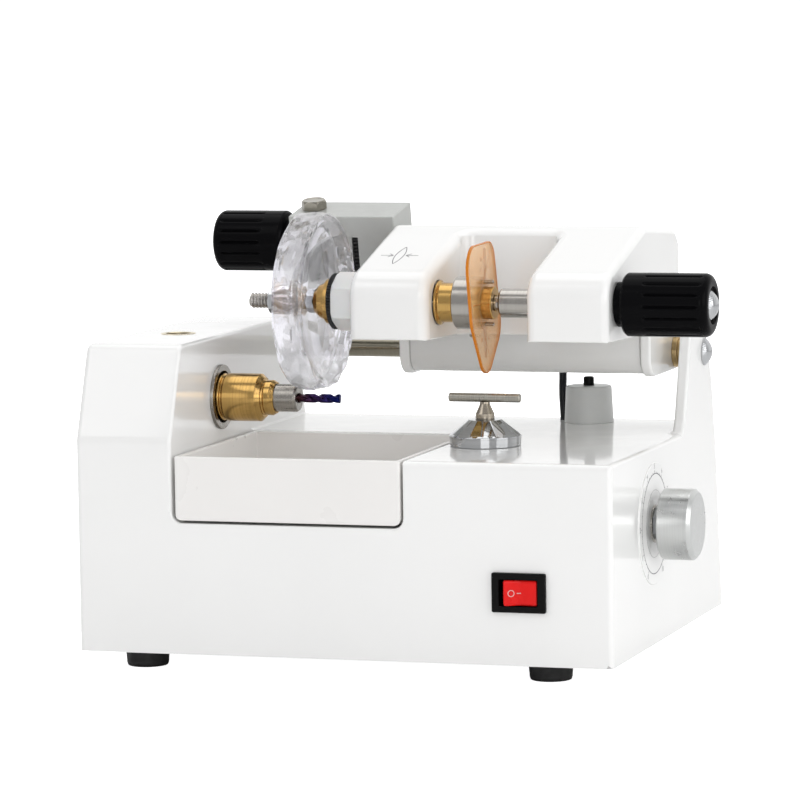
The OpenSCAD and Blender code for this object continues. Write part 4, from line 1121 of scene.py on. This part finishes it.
def make_lens():
    """A thick uncut blank: bulging left face, dished right face, and a rough chipped rim."""
    lo, hi = box("lens_blank")
    rim_r = (hi.z - lo.z) / 2
    dish_r, dish, rise = rim_r - 3.2, 9.0, 2.2
    bore = 3.1
    ball = (rim_r ** 2 + rise ** 2) / (2 * rise)
    bowl = (dish_r ** 2 + dish ** 2) / (2 * dish)
    columns, rows = 34, 6
    chips = random.Random(7)
    depth = [[chips.uniform(0.0, 1.0) for _ in range(rows)] for _ in range(columns)]
    slide = [[chips.uniform(-0.5, 0.5) for _ in range(rows)] for _ in range(columns)]

    def sample(grid, u, v):
        i, j = int(u) % columns, min(rows - 2, int(v))
        fu, fv = u - int(u), v - j
        k = (i + 1) % columns
        low = grid[i][j] * (1 - fu) + grid[k][j] * fu
        high = grid[i][j + 1] * (1 - fu) + grid[k][j + 1] * fu
        return low * (1 - fv) + high * fv

    def chipped(along, r, angle):
        rough = max(0.0, min(1.0, (r - 29.5) / 4.0))
        if rough == 0:
            return along, r
        span = hi.x - lo.x
        v = (along - lo.x) / span * 3.0 + (1.0 if r < rim_r - 0.1 and along > lo.x + 6 else 0.0)
        u = angle / (2 * pi) * columns + 0.5 * (v // 1)
        u %= columns
        v = min(rows - 1.001, max(0.0, v))
        r -= rough * 1.5 * sample(depth, u, v)
        along = min(hi.x, max(lo.x, along + rough * 0.9 * sample(slide, u, v)))
        return along, r
    profile = []
    count = 16
    for k in range(count + 1):
        r = bore + (rim_r - 0.9 - bore) * k / count
        profile.append((lo.x + ball - sqrt(ball ** 2 - r ** 2), r))
    edge_x = profile[-1][0]
    for k in range(1, 12):
        profile.append((edge_x + (hi.x - edge_x) * k / 12, rim_r - 0.1 + 0.1 * sin(pi * k / 12)))
    for k in range(4):
        profile.append((hi.x - 0.1 * k, rim_r - 0.7 - (rim_r - 0.7 - dish_r) * k / 4))
    for k in range(count, -1, -1):
        r = bore + (dish_r - bore) * k / count
        profile.append((hi.x - dish + bowl - sqrt(bowl ** 2 - r ** 2) - 0.4 * k / count, r))
    lens = turned(profile, on_x(LENS_AXIS), 0, columns * 6, True, chipped)
    piece("clear_lens_blank", lens, lens_resin, "lens_train", "lens_blank", 9)


def fluted_knob(start, direction, end, bore, bore_len, axis, base_r):
    """A black knob with a plain collar, then sixteen flutes that run out near a rounded end."""
    neck, r = 3.1, base_r
    flutes, x0, x1 = 16, neck + 9.4, end - 3.8

    def shape(along, q, angle):
        if q < r * 0.8 or not x0 - 1.2 < along < x1 + 1.2:
            return along, q
        fade = min(1.0, (along - x0 + 1.2) / 1.6, (x1 + 1.2 - along) / 1.6)
        groove = max(0.0, cos(flutes * angle)) ** 5
        return along, q - 0.95 * fade * groove
    profile = [(bore_len, 0.0), (bore_len, bore), (0, bore, 0.1), (0, 8.65, 0.3), (neck - 0.6, 8.65, 0.2),
               (neck - 0.2, 10.6, 0.4), (neck, r - 0.8, 0.4), (neck + 1.0, r, 0.6)]
    profile += [(x0 - 1.2 + (x1 - x0 + 2.4) * k / 36, r) for k in range(37)]
    for k in range(1, 7):
        a = radians(90 * k / 6)
        profile.append((end - 3 + 3 * sin(a), r - 3 + 3 * cos(a)))
    profile += [(end, 7.3, 0.3), (end - 1.1, 7.0, 0.2), (end - 1.1, 0.0)]
    place = on_x(axis) @ Matrix.Translation((start, 0, 0))
    if direction < 0:
        place = place @ Matrix.Scale(-1, 4, (1, 0, 0))
    return turned(profile, place, 0, 16 * 14, shape=shape)


def domed_bolt(x, axis, head_r, height, shank_r, shank_len):
    """A polished dome with a finely knurled rim."""
    dome_r = (head_r ** 2 + height ** 2) / (2 * height)
    knurls = 44

    def shape(along, r, angle):
        if along < x + 0.05 or not head_r * 0.7 < r:
            return along, r
        share = (r - head_r * 0.7) / (head_r * 0.3)
        return along, r - 0.16 * share * (0.5 + 0.5 * cos(knurls * angle))
    profile = [(x - shank_len, 0.0), (x - shank_len, shank_r), (x, shank_r), (x, head_r - 0.2),
               (x + 0.35, head_r - 0.02)]
    top = x + height
    start = asin(head_r / dome_r)
    for k in range(1, 13):
        a = start * (1 - k / 12)
        profile.append((top - dome_r + dome_r * cos(a), dome_r * sin(a)))
    profile[-1] = (top, 0.0)
    return turned(profile, on_x(axis), 0, knurls * 6, shape=shape)


def make_knobs():
    lo, hi = box("hand_knob")
    r = (hi.z - lo.z) / 2
    piece("hand_knob_grip", fluted_knob(lo.x, 1, hi.x - lo.x, 5.65, 20.9, LENS_AXIS, r), black_phenolic,
          "lens_train", "hand_knob", 40)
    tip = box("hand_knob_bolt")[1].x
    piece("knob_dome_bolt", domed_bolt(tip - 3.2, LENS_AXIS, 5.6, 3.2, 2.5, 26), lens_chrome,
          "lens_train", "hand_knob_bolt", 40)
    lo, hi = box("feed_knob")
    piece("feed_knob_grip", fluted_knob(hi.x, -1, hi.x - lo.x, 4.05, 16, FEED_AXIS, r), black_phenolic,
          "feed", "feed_knob", 40)


# Pivot and feed block

def make_pivot():
    place = on_x(PIVOT_AXIS)
    lo, hi = box("pivot_rod")
    rod = [(lo.x, 0.0), (lo.x, 3.6), (lo.x + 0.4, 4.0), (hi.x - 0.4, 4.0), (hi.x, 3.6), (hi.x, 3.1),
           (-20, 3.1), (-20, 0.0)]
    piece("pivot_shaft", turned(rod, place, 0.1, 64), pivot_steel, "base", "pivot_rod")
    b_lo, b_hi = box("pivot_bolt")
    piece("pivot_dome_bolt", domed_bolt(0, PIVOT_AXIS, 5.6, b_hi.x, 3.0, -b_lo.x), pivot_chrome, "base",
          "pivot_bolt", 40)
    u_lo, u_hi = box("pivot_bushes")
    head_right, head_left = HEAD_HI.x, HEAD_LO.x
    right = [(head_right - 4.2, 4.05), (head_right - 4.2, 5.3), (head_right, 5.35), (head_right, 6.4, 0.2),
             (head_right + 2.2, 6.4, 0.3), (head_right + 2.2, 5.4), (u_hi.x, 5.4, 0.3), (u_hi.x, 4.05)]
    left = [(u_lo.x, 4.05), (u_lo.x, 6.4, 0.4), (head_left, 6.4, 0.1), (head_left, 5.35),
            (head_left + 4.2, 5.3), (head_left + 4.2, 4.05)]
    piece("bronze_bushes", join(turned(right, place, 0.05, 96, True), turned(left, place, 0.05, 96, True)),
          pivot_bronze, "head", "pivot_bushes")


def block_frame():
    """Origin on the top front right edge of the feed block, local Y along its top."""
    return (Matrix.Translation((HEAD_LO.x - 44, 100, 169.8)) @ turn(10.7, "X"))


def make_feed_block():
    place = block_frame()
    body = round_edges(block(0, 44, 0, 23.8, -28, 0), lambda e, m, a: 1.0, 0.6, 3)
    body = combine(body, block(26, 28.6, -2, 4, -22.6, -8.6))
    bolt_place = on_z(Vector((7.1, 12, 0)))
    body = moved(combine(body, drill(bolt_place, -9, 4, 3.05, 48)), place)
    bore = drill(on_x(FEED_AXIS), HEAD_LO.x - 50, HEAD_LO.x - 8, 4.05, 64)
    piece("feed_block_body", clean(combine(body, bore)), block_aluminium, "head", "feed_block")
    rack = [block(26.1, 28.5, 1.2, 3.9, -22.5, -8.7)]
    for k in range(9):
        rack.append(rounded_block(26.2, 28.4, 0.2, 1.4, -22 + 1.5 * k, -21.1 + 1.5 * k, 0.15, 2))
    piece("feed_rack_strip", moved(join(*rack), place), belt_rubber, "head")

    corner, height = 5.3, 3.8
    flats = corner * cos(pi / 6)
    bolt = [(-5.6, 0.0), (-5.6, 2.6), (-5.2, 3.0), (0, 3.0), (0, flats + 0.1), (0.25, flats + 0.25),
            (0.3, corner)]
    bolt += [(height - 0.9 + 0.9 * k / 6, corner - (corner - flats + 0.15) * k / 6) for k in range(7)]
    bolt += [(height, 3.4, 0.1), (height - 0.15, 3.2, 0.1), (height - 0.15, 0.0)]
    bolt = turned(bolt, place @ bolt_place, 0, 96, shape=hexagonal(flats, 0.3, height - 0.01))
    piece("feed_hex_bolt", bolt, bolt_steel, "head", "feed_bolt", 25)


def make_head_screws():
    z = under(90)
    head = [(z - 1.3, 0.0), (z - 1.3, 1.7), (z - 0.9, 2.25, 0.3), (z - 0.1, 2.3), (z - 0.1, 1.2),
            (z + 7.9, 1.2, 0.2), (z + 7.9, 0.0)]
    screws = []
    for spot in HEAD_SCREWS:
        screw = turned(head, on_z(spot), 0, 48)
        for lean in (20, 110):
            slot = moved(block(-1.4, 1.4, -0.22, 0.22, -2, 0.55),
                         Matrix.Translation(spot + Vector((0, 0, z - 1.3))) @ turn(lean, "Z"))
            screw = combine(screw, slot)
        screws.append(screw)
    piece("head_cross_screws", join(*screws), bolt_steel, "head", "head_screws")


# Lead between the deck and the head

CABLE_ROUTE = [
    (-60.5, 152, 80), (-60.5, 152, 86), (-60.7, 151.9, 90), (-60.8, 151.6, 94),
    (-60.7, 151.2, 98), (-60.5, 150.8, 101), (-60.4, 150.5, 104), (-60.4, 150.4, 107.3),
]


def make_cable():
    obj = smooth_object("head_lead", tube(CABLE_ROUTE, 1.58), cable_jacket)
    low, high = (CORNER + Vector(CABLE_ROUTE[k]) * MM for k in (1, -1))
    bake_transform(obj, "base", "head", start=low, end=high)
    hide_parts("head_cable")


# CAD nodes that stay

def dress(node, material, bevel=0.0):
    """Gives a CAD node its material, and softens its edges by a modifier."""
    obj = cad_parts[node]
    obj.data.materials.clear()
    obj.data.materials.append(material)
    if bevel:
        weld = obj.modifiers.new("weld", "WELD")
        weld.merge_threshold = 0.000005
        rounding = obj.modifiers.new("edges", "BEVEL")
        rounding.width = bevel * MM
        rounding.segments = 2
        rounding.limit_method = "ANGLE"
        rounding.angle_limit = radians(50)


def dress_inside():
    """The inner nodes, which stay as the CAD drew them."""
    for material, nodes in ((bolt_steel, ("base_screws", "stop_spring")),
                            (cutter_steel, ("spindle_bearings", "cutter_spindle")),
                            (lens_steel, ("head_bearings",)),
                            (feed_steel, ("pot_shaft", "feed_screw")),
                            (dial_aluminium, ("motor_pulley", "lens_pulley", "gear_motor_pulley")),
                            (belt_rubber, ("drive_belt", "lens_belt")),
                            (motor_steel, ("potentiometer",)),
                            (circuit_board, ("control_board",))):
        for node in nodes:
            dress(node, material)
    dress("base_plate", sheet_steel, 0.3)
    dress("motor_bracket", sheet_steel, 0.4)
    dress("cutter_motor", motor_steel, 0.8)
    dress("gear_motor", motor_steel, 0.6)


# Camera, light and floor

def make_camera():
    camera = bpy.data.cameras.new("camera")
    camera.lens = 207.0
    camera.sensor_width = 36.0
    camera.clip_end = 20.0
    obj = add_object("camera", camera)
    yaw, pitch, roll = radians(17.8), radians(5.85), radians(0.87)
    obj.location = (0.53605, -1.7192, 0.2834)
    obj.rotation_euler = (Matrix.Rotation(yaw, 3, "Z") @ Matrix.Rotation(pi / 2 - pitch, 3, "X")
                          @ Matrix.Rotation(-roll, 3, "Z")).to_euler()
    bpy.context.scene.camera = obj


def make_lamp(name, place, target, size, power):
    light = bpy.data.lights.new(name, "AREA")
    light.shape = "RECTANGLE"
    light.size, light.size_y = size
    light.energy = power
    obj = add_object(name, light)
    obj.location = place
    obj.rotation_euler = (Vector(target) - Vector(place)).to_track_quat("-Z", "Y").to_euler()


def make_studio():
    scene = bpy.context.scene
    scene.view_settings.view_transform = "Standard"
    world = bpy.data.worlds.new("studio")
    scene.world = world
    world.use_nodes = True
    tree = world.node_tree
    split = add_node(tree, "SeparateXYZ", Vector=add_node(tree, "TexCoord").outputs["Generated"])
    glow = add_ramp(tree, split.outputs["Y"], ((0.0, (0.48, 0.48, 0.49)), (0.62, (0.95, 0.95, 0.95))))
    mix = tree.nodes.new("ShaderNodeMix")
    mix.data_type = "RGBA"
    tree.links.new(add_node(tree, "LightPath").outputs["Is Camera Ray"], mix.inputs["Factor"])
    tree.links.new(glow, mix.inputs["A"])
    mix.inputs["B"].default_value = (1, 1, 1, 1)
    background = tree.nodes["Background"]
    tree.links.new(mix.outputs["Result"], background.inputs["Color"])
    background.inputs["Strength"].default_value = 1.1

    make_lamp("key", (-0.9, -1.0, 1.3), (0, 0, 0.05), (0.9, 0.9), 3.5)
    make_lamp("fill", (1.3, -0.4, 0.5), (0, 0, 0.1), (1.0, 0.8), 4.8)
    make_lamp("front", (0.45, -1.6, 0.45), (0, 0, 0.1), (0.8, 0.6), 4)
    make_lamp("top", (0.0, 0.2, 1.5), (0, 0, 0.1), (1.4, 1.0), 5.6)

    material, shader = principled("studio_floor", (0.93, 0.93, 0.93), 0.6)
    vary_color(material, shader, noise_node(material, 3, 2), (0.92, 0.92, 0.92), (0.94, 0.94, 0.94))
    shader.inputs["Emission Color"].default_value = (1, 1, 1, 1)
    tree = material.node_tree
    seen = add_node(tree, "LightPath").outputs["Is Camera Ray"]
    tree.links.new(seen, shader.inputs["Emission Strength"])
    reach = 6.0
    slab = block(-reach, reach, -reach, reach, -0.02, -0.0002)
    obj = add_object("floor", as_mesh(slab, "floor"))
    obj.data.materials.append(material)


make_camera()
make_studio()
make_cable()
make_casing()
make_tray()
make_feet()
make_tower_socket()
make_inlet()
make_cutter()
make_rest()
make_switch()
make_dial()
make_stop()
make_head()
make_head_underside()
make_head_screws()
make_pictogram()
make_lens_spindles()
make_template()
make_clamp()
make_lens()
make_knobs()
make_pivot()
make_feed_block()
dress_inside()
